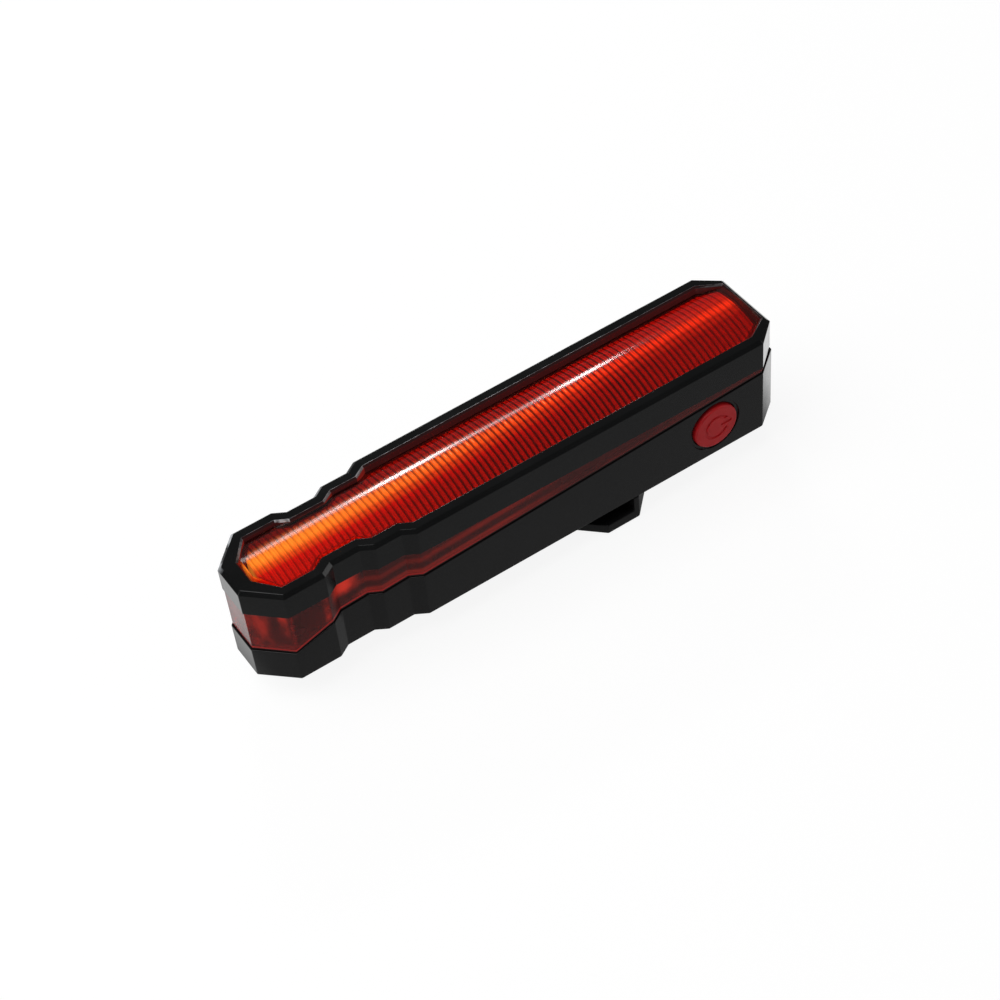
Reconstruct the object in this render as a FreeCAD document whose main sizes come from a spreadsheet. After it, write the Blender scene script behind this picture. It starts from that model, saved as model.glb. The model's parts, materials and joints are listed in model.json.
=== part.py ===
import FreeCAD, Part
import math
import os
import re
import Sketcher

# Bicycle tail light, lying on its back: a long translucent red lens in a black bezel,
# a wedge shaped case below, a hook clip under the case and a power button on one side.
# Lengths are millimetres. Plan stations run from the laser end of the light, heights
# from the underside of the case. Every piece is then shifted, so that the origin is the
# centre of the clip's outer face, with +X towards the tail end and +Z out of the lens.

SIZES = {
    # plan outline, half widths at stations along the light
    "overall_length": 100.0,
    "nose_half": 3.2,
    "nose_run": 5.2,
    "block_half": 8.3,
    "block_end": 12.5,
    "waist_start": 14.6,
    "waist_half": 7.0,
    "waist_end": 19.5,
    "step_start": 21.5,
    "step_half": 8.25,
    "step_end": 26.3,
    "body_start": 28.4,
    "body_half": 9.55,
    "tail_half": 9.8,
    "tail_run": 4.2,
    "tail_face_half": 6.25,
    # case
    "case_tail_overhang": 0.4,
    "case_nose_overhang": 0.1,
    "case_wall": 1.5,
    "case_floor": 1.6,
    "case_foot_bevel": 0.25,
    "case_lip": 0.7,
    "seam_nose": 6.35,
    "seam_block": 8.6,
    "strip_far": 1.0,
    "gasket_height": 0.8,
    "gasket_gap": 0.1,
    "seam_gap": 0.1,
    # bezel
    "bezel_plate": 1.6,
    "bezel_wall": 1.3,
    "bezel_bevel": 0.6,
    "band_near": 5.0,
    "band_far": 6.2,
    "band_gap": 0.15,
    "rim_width": 2.35,
    "rim_near": 3.2,
    "rim_far": 1.2,
    "rim_bevel": 0.35,
    # lens
    "lens_setback": 0.2,
    "lens_gap": 0.2,
    "lens_wall": 1.1,
    "flange_gap": 0.1,
    "flange_thickness": 1.5,
    "dome_gap": 0.25,
    "dome_rise": 2.3,
    "dome_border": 0.6,
    "dome_wall": 1.2,
    "roof_inset": 1.3,
    "boss_radius": 1.7,
    "boss_headroom": 1.4,
    "web_half": 0.6,
    "web_height": 1.5,
    # light guide and reflector
    "guide_gap": 0.3,
    "guide_thickness": 4.0,
    "rib_pitch": 1.06,
    "rib_depth": 0.45,
    "rib_margin": 0.7,
    "reflector_gap": 0.1,
    "reflector_inset": 4.6,
    "reflector_wall": 1.0,
    "reflector_height": 5.8,
    # screws
    "screw_radius": 1.0,
    "screw_fit": 0.05,
    "screw_hole_gap": 0.15,
    "head_radius": 1.8,
    "head_height": 1.1,
    "head_gap": 0.2,
    "head_sink": 0.25,
    "drive_half": 0.25,
    "drive_reach": 1.0,
    "drive_depth": 0.6,
    "case_screw_length": 7.5,
    "case_boss_radius": 2.8,
    "case_boss_height": 4.0,
    "boss_gap": 0.1,
    "near_screw_x": 16.9,
    "pair_screw_x": 32.0,
    "pair_screw_y": 5.6,
    "far_screw_setback": 5.8,
    # circuit board
    "board_clearance": 0.6,
    "board_thickness": 1.0,
    "board_near": 34.8,
    "board_setback": 8.2,
    "board_side_gap": 1.45,
    "neck_near": 19.4,
    "neck_half": 3.4,
    "post_radius": 2.0,
    "post_near_x": 22.5,
    "post_inset": 2.5,
    "board_screw_length": 4.5,
    # lamps on the board
    "led_length": 3.5,
    "led_width": 2.8,
    "led_height": 0.8,
    "led_margin": 0.35,
    "led_pitch": 4.1,
    "led_side_margin": 0.6,
    "neck_led_first_x": 26.4,
    "neck_led_pitch": 4.2,
    "charge_led_inset": 3.2,
    "charge_led_height": 0.6,
    # chips under the board
    "controller_spacing": 7.8,
    "controller_clearance": 0.3,
    "controller_length": 4.9,
    "controller_width": 3.9,
    "controller_height": 1.5,
    "charger_inset": 4.4,
    "charger_offset": 1.8,
    "charger_length": 2.9,
    "charger_width": 1.6,
    "charger_height": 1.1,
    "leg_reach": 0.6,
    "leg_width": 0.4,
    "leg_height": 0.25,
    "leg_pitch": 1.27,
    "passive_length": 1.6,
    "passive_width": 0.8,
    "passive_height": 0.5,
    "passive_spacing": 11.6,
    "passive_pitch": 2.4,
    "passive_clearance": 0.34,
    # battery
    "battery_near": 35.4,
    "battery_clearance": 5.73,
    "battery_half": 7.0,
    "battery_height": 6.0,
    "battery_edge": 1.6,
    "pad_thickness": 0.4,
    "pad_margin": 1.0,
    "lead_radius": 0.5,
    "lead_y": 1.6,
    "lead_z": 6.6,
    "lead_run": 3.6,
    "lead_bend": 1.1,
    # power button, on the right hand side near the tail
    "button_setback": 14.2,
    "seal_headroom": 0.036,
    "button_radius": 4.3,
    "button_gap": 0.15,
    "button_proud": 0.45,
    "button_edge": 0.4,
    "button_travel": 0.5,
    "flange_radius": 4.85,
    "flange_depth": 0.7,
    "flange_rest": 0.08,
    "ring_radius": 5.0,
    "ring_depth": 0.35,
    "seal_radius": 4.75,
    "seal_depth": 0.5,
    "seal_gap": 0.05,
    "symbol_outer": 2.5,
    "symbol_stroke": 0.55,
    "symbol_opening": 1.0,
    "symbol_bar_near": 1.0,
    "symbol_bar_far": 3.1,
    "symbol_depth": 0.22,
    # switch behind the button
    "plunger_radius": 0.9,
    "plunger_fit": 0.08,
    "plunger_reach": 0.8,
    "switch_half": 2.3,
    "switch_low": 1.85,
    "switch_front_gap": 0.8,
    "switch_depth": 3.4,
    # charging socket and its cover, on the left hand side
    "socket_spacing": 7.2,
    "socket_width": 8.94,
    "socket_height": 3.26,
    "socket_depth": 7.35,
    "socket_wall": 0.35,
    "socket_setback": 1.6,
    "socket_round": 0.8,
    "tongue_width": 6.7,
    "tongue_height": 0.7,
    "tongue_setback": 0.7,
    "mouth_gap": 0.3,
    "cover_length": 13.0,
    "cover_height": 6.4,
    "cover_thickness": 0.9,
    "cover_gap": 0.15,
    "cover_seat": 0.05,
    "cover_corner": 1.2,
    "plug_height": 2.4,
    "plug_width": 8.0,
    "plug_depth": 0.55,
    "trunnion_radius": 0.22,
    "trunnion_length": 0.9,
    "trunnion_fit": 0.06,
    "tab_length": 5.0,
    "tab_height": 0.6,
    "tab_proud": 0.3,
    "tab_inset": 0.7,
    # clip under the case
    "clip_setback": 33.4,
    "clip_depth": 5.2,
    "clip_length": 14.4,
    "clip_side_inset": 0.1,
    "clip_corner": 4.0,
    "clip_plate": 2.2,
    "clip_wall": 5.0,
    "clip_edge": 0.4,
    "catch_height": 0.5,
    "catch_width": 1.6,
    "catch_crest": 0.4,
    "catch_inset": 2.2,
    "catch_half": 5.0,
    "clip_screw_y": 4.4,
    "clip_screw_cover": 1.45,
    "clip_boss_radius": 2.2,
    "clip_boss_height": 5.6,
    # lasers in the nose block
    "laser_front": 5.9,
    "laser_y": 3.0,
    "laser_lift": 1.4,
    "laser_toe": 8.5,
    "barrel_radius": 1.75,
    "barrel_bore": 1.2,
    "barrel_length": 6.4,
    "optic_radius": 1.15,
    "optic_depth": 1.0,
    "optic_setback": 0.4,
    "diode_radius": 1.1,
    "diode_depth": 2.4,
    "diode_proud": 0.4,
    "holder_near": 7.9,
    "holder_far": 11.6,
    "holder_half": 4.9,
    "holder_roof": 0.65,
    "holder_fit": 0.06,
    "laser_lead_gap": 0.2,
    "laser_lead_radius": 0.28,
    "laser_lead_y": 2.5,
    "laser_lead_spread": 0.35,
    "laser_lead_bend": 1.0,
    "laser_lead_land": 21.0,
}

# Sizes that follow from the others. What sits near the tail keeps its distance from it,
# the battery and the lamps fill the room between, and the heights stack up from the floor.
FOLLOWING = {
    "board_far": "overall_length - board_setback",
    "post_far_x": "board_far - post_inset",
    "far_screw_x": "overall_length - far_screw_setback",
    "charge_led_x": "board_far - charge_led_inset",
    "charger_x": "board_far - charger_inset",
    "button_x": "overall_length - button_setback",
    "controller_x": "button_x - controller_spacing",
    "passive_first_x": "button_x - passive_spacing",
    "socket_x": "button_x - socket_spacing",
    "battery_length": "socket_x - socket_width / 2 - battery_clearance - battery_near",
    "clip_centre": "overall_length - clip_setback",
    "clip_near": "clip_centre - clip_length / 2",
    "clip_far": "clip_centre + clip_length / 2",
    "catch_x": "clip_near + catch_inset",
    "clip_screw_length": "clip_depth - head_height - head_sink + clip_boss_height - clip_screw_cover",
    "reflector_near": "board_near + reflector_gap",
    "reflector_far": "board_far - reflector_inset",
    "led_first_x": "reflector_near + reflector_wall + led_margin + led_length / 2",
    "dome_half": "tail_half - rim_width - dome_gap",
    "roof_half": "dome_half - roof_inset",
    "roof_rise": "flange_gap + dome_rise - dome_wall",
    "reflector_half": "tail_half - rim_width - dome_gap - dome_border - guide_gap",
    "led_row_y": "reflector_half - reflector_wall - led_side_margin - led_width / 2",
    "charge_led_y": "reflector_half",
    "charger_y": "reflector_half - charger_offset",
    "clip_half": "tail_half - clip_side_inset",
    "board_half": "body_half - case_wall - board_side_gap",
    "board_under": "case_floor + pad_thickness + battery_height + board_clearance",
    "board_top": "board_under + board_thickness",
    "guide_under": "board_top + reflector_height",
    "guide_top": "guide_under + guide_thickness",
    "guide_shoulder": "guide_top - roof_rise",
    "flange_top": "guide_shoulder + guide_gap",
    "bezel_top": "flange_top + flange_gap + bezel_plate",
    "boss_top": "guide_under - boss_headroom",
    "laser_z": "board_top + laser_lift",
    "holder_top": "laser_z + barrel_radius + holder_roof",
    "seam_tail": "bezel_top - band_far - strip_far",
    "seam_rise": "(seam_tail - seam_block) / (overall_length - block_end)",
    "seam_at_button": "seam_block + seam_rise * (button_x - block_end)",
    "button_z": "seam_at_button - gasket_height - seal_radius + seal_gap - seal_headroom",
}

NECK_LEDS = 2
CONTROLLER_LEGS = 4
CHARGER_LEGS = 2
PASSIVE_COUNT = 5
SIDES = {"left": 1, "right": -1}

doc = FreeCAD.newDocument("TailLight")
sheet = doc.addObject("Spreadsheet::Sheet", "Sizes")
for row, (alias, content) in enumerate([*SIZES.items(), *FOLLOWING.items()], start=1):
    sheet.set(f"A{row}", alias)
    sheet.set(f"B{row}", f"={content}" if alias in FOLLOWING else str(content))
    sheet.setAlias(f"B{row}", alias)
doc.recompute()


# A formula names sizes by their alias, and this points each alias at the sheet.
def formula(text):
    def pointed(word):
        return f"Sizes.{word[0]}" if word[0] in SIZES or word[0] in FOLLOWING else word[0]

    return re.sub(r"[a-z_]\w*", pointed, str(text))


def bind(thing, prop, text):
    thing.setExpression(prop, formula(text))


# What a formula comes to, for where a sketch starts and for the bent wires.
def value(text):
    return float(sheet.evalExpression(formula(text)))


def point(across, up):
    return FreeCAD.Vector(value(across), value(up), 0)


# Every piece is moved from plan stations and case heights to the clip's outer face.
def shift(thing):
    bind(thing, "Placement.Base.x", "-clip_centre")
    bind(thing, "Placement.Base.z", "clip_depth")


def new_body(label):
    body = doc.addObject("PartDesign::Body", label)
    body.Label = label
    shift(body)
    return body


# Sketch planes: on XY the lift is a height, on XZ it runs to -Y, on YZ to +X.
def new_sketch(body, name, plane="XY_Plane", lift="0"):
    sketch = body.newObject("Sketcher::SketchObject", name)
    support = next(item for item in body.Origin.OriginFeatures if item.Role == plane)
    sketch.AttachmentSupport = [(support, "")]
    sketch.MapMode = "FlatFace"
    bind(sketch, "AttachmentOffset.Base.z", lift)
    return sketch


# Each dimension starts at its true value, so that no shape ever folds up on the way.
def hold_distance(sketch, kind, geometry, end, text):
    index = sketch.addConstraint(Sketcher.Constraint(kind, -1, 1, geometry, end, value(text)))
    bind(sketch, f"Constraints[{index}]", text)


def hold_point(sketch, geometry, end, across, up):
    hold_distance(sketch, "DistanceX", geometry, end, across)
    hold_distance(sketch, "DistanceY", geometry, end, up)


def hold_radius(sketch, geometry, text):
    index = sketch.addConstraint(Sketcher.Constraint("Radius", geometry, value(text)))
    bind(sketch, f"Constraints[{index}]", text)


def add_polygon(sketch, corners):
    start = [point(across, up) for across, up in corners]
    ahead = start[1:] + start[:1]
    lines = [Part.LineSegment(here, there) for here, there in zip(start, ahead)]
    ids = sketch.addGeometry(lines, False)
    for line, after in zip(ids, ids[1:] + ids[:1]):
        sketch.addConstraint(Sketcher.Constraint("Coincident", line, 2, after, 1))
    for line, (across, up) in zip(ids, corners):
        hold_point(sketch, line, 1, across, up)


def add_rectangle(sketch, low_u, high_u, low_v, high_v):
    add_polygon(sketch, [(low_u, low_v), (high_u, low_v), (high_u, high_v), (low_u, high_v)])


def add_circle(sketch, across, up, radius):
    start = Part.Circle(point(across, up), FreeCAD.Vector(0, 0, 1), value(radius))
    circle = sketch.addGeometry(start, False)
    hold_point(sketch, circle, 3, across, up)
    hold_radius(sketch, circle, radius)


# A region over an arc through two level points: what lies above an arched top.
def add_arch_region(sketch, half, low, rise, outer, high):
    corners = [(half, low), (outer, low), (outer, high), (f"-({outer})", high),
               (f"-({outer})", low), (f"-({half})", low)]
    start = [point(across, up) for across, up in corners]
    lines = [Part.LineSegment(here, there) for here, there in zip(start, start[1:])]
    ids = sketch.addGeometry(lines, False)
    for line, after in zip(ids, ids[1:]):
        sketch.addConstraint(Sketcher.Constraint("Coincident", line, 2, after, 1))
    for line, (across, up) in zip(ids, corners):
        hold_point(sketch, line, 1, across, up)
    hold_point(sketch, ids[-1], 2, *corners[-1])
    crown = Part.Arc(start[0], point("0", f"{low} + {rise}"), start[-1])
    arc = sketch.addGeometry(crown, False)
    sketch.addConstraint(Sketcher.Constraint("Coincident", arc, 1, ids[0], 1))
    sketch.addConstraint(Sketcher.Constraint("Coincident", arc, 2, ids[-1], 2))
    hold_distance(sketch, "DistanceY", arc, 3, f"{low} + ({rise}) / 2 - ({half}) ^ 2 / (2 * ({rise}))")


# A ring with an opening towards +X, whose ends are level, for the power symbol.
def add_broken_ring(sketch, across, up, outer, inner, opening):
    ends = [(radius, sign, f"{across} + sqrt(({radius}) ^ 2 - ({opening}) ^ 2)", f"{up} {sign} {opening}")
            for radius, sign in ((outer, "+"), (outer, "-"), (inner, "-"), (inner, "+"))]
    corners = [point(along, high) for radius, sign, along, high in ends]
    outside = Part.Arc(corners[0], point(f"{across} - ({outer})", up), corners[1])
    inside = Part.Arc(corners[3], point(f"{across} - ({inner})", up), corners[2])
    low_end = Part.LineSegment(corners[1], corners[2])
    high_end = Part.LineSegment(corners[3], corners[0])
    outside, inside, low_end, high_end = sketch.addGeometry([outside, inside, low_end, high_end], False)
    joins = [(outside, 2, low_end, 1), (low_end, 2, inside, 2),
             (inside, 1, high_end, 1), (high_end, 2, outside, 1)]
    for join in joins:
        sketch.addConstraint(Sketcher.Constraint("Coincident", *join))
    for line in (low_end, high_end):
        sketch.addConstraint(Sketcher.Constraint("Horizontal", line))
    for arc, radius in ((outside, outer), (inside, inner)):
        hold_point(sketch, arc, 3, across, up)
        hold_radius(sketch, arc, radius)
    for line, sign in ((low_end, "-"), (high_end, "+")):
        hold_distance(sketch, "DistanceY", line, 1, f"{up} {sign} {opening}")


def pad(body, sketch, length, reverse=False):
    feature = body.newObject("PartDesign::Pad", sketch.Name + "Pad")
    feature.Profile = sketch
    feature.Reversed = reverse
    bind(feature, "Length", length)
    return feature


def pocket(body, sketch, length=None, reverse=False):
    feature = body.newObject("PartDesign::Pocket", sketch.Name + "Pocket")
    feature.Profile = sketch
    if length is None:
        feature.Type = "ThroughAll"
        feature.SideType = "Symmetric"
    else:
        feature.Reversed = reverse
        bind(feature, "Length", length)
    return feature


# Chamfer or fillet the edges that a test picks on the solid as it is so far.
def dress_edges(body, kind, prop, width, picks, name=None):
    doc.recompute()
    base = body.Tip
    chosen = picks(base.Shape)
    names = [f"Edge{i}" for i, edge in enumerate(base.Shape.Edges, start=1)
             if any(edge.isSame(other) for other in chosen)]
    feature = body.newObject(f"PartDesign::{kind}", name or f"{body.Name}{kind}")
    feature.Base = (base, names)
    bind(feature, prop, width)
    return feature


NEAR_ENOUGH = 0.02


def lies_level(item, height):
    box = item.BoundBox
    return abs(box.ZMin - height) < NEAR_ENOUGH and abs(box.ZMax - height) < NEAR_ENOUGH


def level_edges(height):
    return lambda shape: [edge for edge in shape.Edges if lies_level(edge, height)]


# Edges of the openings in the flat face at a height.
def inner_edges(height):
    def picks(shape):
        faces = [face for face in shape.Faces if lies_level(face, height)]
        return [edge for face in faces for wire in face.Wires
                if not wire.isSame(face.OuterWire) for edge in wire.Edges]
    return picks


# Straight edges that run along one axis.
def edges_along(axis):
    def picks(shape):
        spans = [(edge, edge.BoundBox) for edge in shape.Edges]
        if axis == "x":
            return [edge for edge, box in spans
                    if box.XLength > NEAR_ENOUGH > max(box.YLength, box.ZLength)]
        return [edge for edge, box in spans
                if box.YLength > NEAR_ENOUGH > max(box.XLength, box.ZLength)]
    return picks


# The edges of the foremost face towards -Y.
def front_edges(shape):
    front = shape.BoundBox.YMin
    return [edge for edge in shape.Edges if edge.BoundBox.YMax < front + NEAR_ENOUGH]


# The two edges across a plate at its upper corners.
def top_corner_edges(shape):
    top = shape.BoundBox.ZMax
    return [edge for edge in edges_along("y")(shape) if edge.BoundBox.ZMin > top - NEAR_ENOUGH]


# Tangent of half the slope of a slanted side: how far its corners slide when it is inset.
def half_slope(run, rise):
    return f"({rise}) / (({run}) + sqrt(({run}) ^ 2 + ({rise}) ^ 2))"


# The plan outline moved inwards by an inset, as corners for a sketch on XY.
def outline(inset, near="0", far="overall_length"):
    nose = half_slope("nose_run", "block_half - nose_half")
    nose_end = half_slope("block_half - nose_half", "nose_run")
    neck = half_slope("waist_start - block_end", "block_half - waist_half")
    step = half_slope("step_start - waist_end", "step_half - waist_half")
    shoulder = half_slope("body_start - step_end", "body_half - step_half")
    tail = half_slope("tail_run", "tail_half - tail_face_half")
    tail_end = half_slope("tail_half - tail_face_half", "tail_run")
    side = [
        (near, f"nose_half - ({inset}) * {nose_end}"),
        (f"nose_run + ({inset}) * {nose}", f"block_half - ({inset})"),
        (f"block_end - ({inset}) * {neck}", f"block_half - ({inset})"),
        (f"waist_start - ({inset}) * {neck}", f"waist_half - ({inset})"),
        (f"waist_end + ({inset}) * {step}", f"waist_half - ({inset})"),
        (f"step_start + ({inset}) * {step}", f"step_half - ({inset})"),
        (f"step_end + ({inset}) * {shoulder}", f"step_half - ({inset})"),
        (f"body_start + ({inset}) * {shoulder}", f"body_half - ({inset})"),
        (f"overall_length - tail_run - ({inset}) * {tail}", f"tail_half - ({inset})"),
        (far, f"tail_face_half - ({inset}) * {tail_end}"),
    ]
    return side + [(along, f"-({half})") for along, half in reversed(side)]


def inset_outline(inset):
    return outline(inset, near=inset, far=f"overall_length - ({inset})")


# Everything above or below the sloped seam between the case and the lens.
def seam_region(offset, edge):
    beyond = "overall_length"
    return [
        (f"-{beyond}", f"seam_nose + ({offset})"),
        ("nose_run", f"seam_nose + ({offset})"),
        ("block_end", f"seam_block + ({offset})"),
        (f"2 * {beyond}", f"seam_tail + seam_rise * {beyond} + ({offset})"),
        (f"2 * {beyond}", edge),
        (f"-{beyond}", edge),
    ]


# Everything on one side of the bezel's lower edge, which also slopes a little.
def band_region(offset, edge):
    near = "bezel_top - band_near"
    drop = "band_far - band_near"
    return [
        ("-overall_length", f"{near} + ({drop}) + ({offset})"),
        ("2 * overall_length", f"{near} - 2 * ({drop}) + ({offset})"),
        ("2 * overall_length", edge),
        ("-overall_length", edge),
    ]


ARCH_RADIUS = "(roof_half ^ 2 + roof_rise ^ 2) / (2 * roof_rise)"
LENS_INNER = "bezel_wall + lens_gap + lens_wall"
DOME_INNER = "rim_width + dome_gap + dome_border"
DOME_NEAR = "rim_near + dome_gap"
DOME_FAR = "overall_length - rim_far - dome_gap"
WEB_REACH = f"waist_half - ({LENS_INNER}) + lens_wall / 2"
CLIP_SCREW_X = "clip_far - clip_wall / 2"
CASE_SCREWS = [("near_screw_x", "0"), ("pair_screw_x", "pair_screw_y"),
               ("pair_screw_x", "-pair_screw_y"), ("far_screw_x", "0")]
CLIP_SCREWS = [(CLIP_SCREW_X, "clip_screw_y"), (CLIP_SCREW_X, "-clip_screw_y")]
BOARD_POSTS = [("post_near_x", "0"), ("post_far_x", "0")]
CASE_SEAT = "head_height + head_sink"
CLIP_SEAT = f"{CASE_SEAT} - clip_depth"


# Half width of the long side at a station, for what sits in that side.
def side_at(station):
    slope = "(tail_half - body_half) / (overall_length - tail_run - body_start)"
    return f"body_half + {slope} * ({station} - body_start)"


BUTTON_SIDE = side_at("button_x")
BUTTON_WALL = f"{BUTTON_SIDE} - case_wall"
PLUNGER_BACK = f"{BUTTON_WALL} - flange_rest - flange_depth"
SWITCH_FRONT = f"{PLUNGER_BACK} - switch_front_gap"
SOCKET_SIDE = side_at("socket_x")
SOCKET_FRONT = f"{SOCKET_SIDE} - socket_setback"
SOCKET_Z = "board_under - socket_height / 2"
SOCKET_BACK = f"{SOCKET_FRONT} - socket_depth"
PASSIVE_Y = f"{SOCKET_BACK} - passive_clearance - passive_width / 2"
CONTROLLER_Y = (f"{PASSIVE_Y} - passive_width / 2 - controller_clearance - leg_reach"
                " - controller_width / 2")
COVER_LOW = f"{SOCKET_Z} - cover_height / 2"
COVER_BACK = f"{SOCKET_SIDE} - cover_thickness"
HINGE_Y = f"{SOCKET_SIDE} - cover_thickness / 2"
HINGE_Z = f"{COVER_LOW} + cover_thickness / 2"


def add_circles(sketch, places, radius):
    for along, across in places:
        add_circle(sketch, along, across, radius)


# A round or square hole cut into a long side from outside, down to a depth in plan.
# The right side is -Y and the left side is +Y.
def cut_side(body, name, side, depth, draw):
    reach = "2 * tail_half"
    sketch = new_sketch(body, name, "XZ_Plane", reach if side < 0 else f"-{reach}")
    draw(sketch)
    return pocket(body, sketch, f"{reach} - ({depth})", reverse=side > 0)


def make_rear_case():
    body = new_body("rear_case")
    case_outline = outline("0", near="-case_nose_overhang", far="overall_length + case_tail_overhang")
    block = new_sketch(body, "CaseOutline")
    add_polygon(block, case_outline)
    pad(body, block, "seam_tail + case_wall")
    hollow = new_sketch(body, "CaseHollow", lift="case_floor")
    add_polygon(hollow, inset_outline("case_wall"))
    pocket(body, hollow, "seam_tail + case_wall", reverse=True)
    rebate = new_sketch(body, "CaseRebate", "XZ_Plane")
    add_polygon(rebate, seam_region("-gasket_height", "3 * seam_tail"))
    pocket(body, rebate)
    lip = new_sketch(body, "CaseLip", lift="case_floor")
    add_polygon(lip, case_outline)
    add_polygon(lip, inset_outline("case_lip"))
    pad(body, lip, "seam_tail")
    seam = new_sketch(body, "CaseSeam", "XZ_Plane")
    add_polygon(seam, seam_region("0", "3 * seam_tail"))
    pocket(body, seam)
    dress_edges(body, "Chamfer", "Size", "case_foot_bevel", level_edges(0))

    # screw towers and board posts rise from the floor
    for name, places, radius, top in (
            ("CaseTowers", CASE_SCREWS, "case_boss_radius", "case_boss_height"),
            ("ClipTowers", CLIP_SCREWS, "clip_boss_radius", "clip_boss_height"),
            ("BoardPosts", BOARD_POSTS, "post_radius", "board_under")):
        towers = new_sketch(body, name, lift="case_floor / 2")
        add_circles(towers, places, radius)
        pad(body, towers, f"{top} - case_floor / 2")
    for name, places, radius, depth in (
            ("CaseShankHoles", CASE_SCREWS, "screw_radius + screw_hole_gap", "2 * case_boss_height"),
            ("CaseHeadSinks", CASE_SCREWS, "head_radius + head_gap", CASE_SEAT),
            ("ClipScrewHoles", CLIP_SCREWS, "screw_radius + screw_fit",
             "clip_boss_height - case_floor / 2")):
        holes = new_sketch(body, name)
        add_circles(holes, places, radius)
        pocket(body, holes, depth, reverse=True)
    post_holes = new_sketch(body, "PostHoles", lift="board_under")
    add_circles(post_holes, BOARD_POSTS, "screw_radius + screw_fit")
    pocket(body, post_holes, "board_screw_length")

    # button bore, its recessed ring outside and the seat of its seal inside
    def round_at(radius):
        return lambda sketch: add_circle(sketch, "button_x", "button_z", radius)

    cut_side(body, "ButtonBore", -1, "case_wall", round_at("button_radius + button_gap"))
    cut_side(body, "ButtonRing", -1, f"{BUTTON_SIDE} - ring_depth", round_at("ring_radius"))
    seat = new_sketch(body, "SealSeat", "XZ_Plane", f"{BUTTON_WALL} - flange_depth")
    add_circle(seat, "button_x", "button_z", "seal_radius")
    pocket(body, seat, "flange_depth + seal_depth", reverse=True)

    # charging socket mouth, with a shallow recess and two hinge holes for its cover
    def mouth(sketch):
        half, tall = "socket_width / 2 + mouth_gap", "socket_height / 2 + mouth_gap"
        add_rectangle(sketch, f"socket_x - ({half})", f"socket_x + {half}",
                      f"{SOCKET_Z} - ({tall})", f"{SOCKET_Z} + {tall}")

    def recess(sketch):
        half = "cover_length / 2 + cover_gap"
        add_rectangle(sketch, f"socket_x - ({half})", f"socket_x + {half}",
                      f"{COVER_LOW} - cover_gap", f"{COVER_LOW} + cover_height + cover_gap")

    cut_side(body, "SocketMouth", 1, "case_wall", mouth)
    cut_side(body, "CoverRecess", 1, f"{COVER_BACK} - cover_seat", recess)
    hinge = new_sketch(body, "HingeHoles", "YZ_Plane",
                       "socket_x - cover_length / 2 - trunnion_length - cover_gap")
    add_circle(hinge, HINGE_Y, HINGE_Z, "trunnion_radius + trunnion_fit")
    pocket(body, hinge, "cover_length + 2 * trunnion_length + 2 * cover_gap", reverse=True)
    return body


def make_case_gasket():
    body = new_body("case_gasket")
    ring = new_sketch(body, "GasketRing")
    add_polygon(ring, inset_outline("case_lip + gasket_gap"))
    add_polygon(ring, inset_outline("case_wall"))
    pad(body, ring, "seam_tail + case_wall")
    for name, offset, edge in (("GasketTop", "seam_gap", "3 * seam_tail"),
                               ("GasketUnder", "-gasket_height", "-3 * seam_tail")):
        face = new_sketch(body, name, "XZ_Plane")
        add_polygon(face, seam_region(offset, edge))
        pocket(body, face)
    return body


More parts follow.
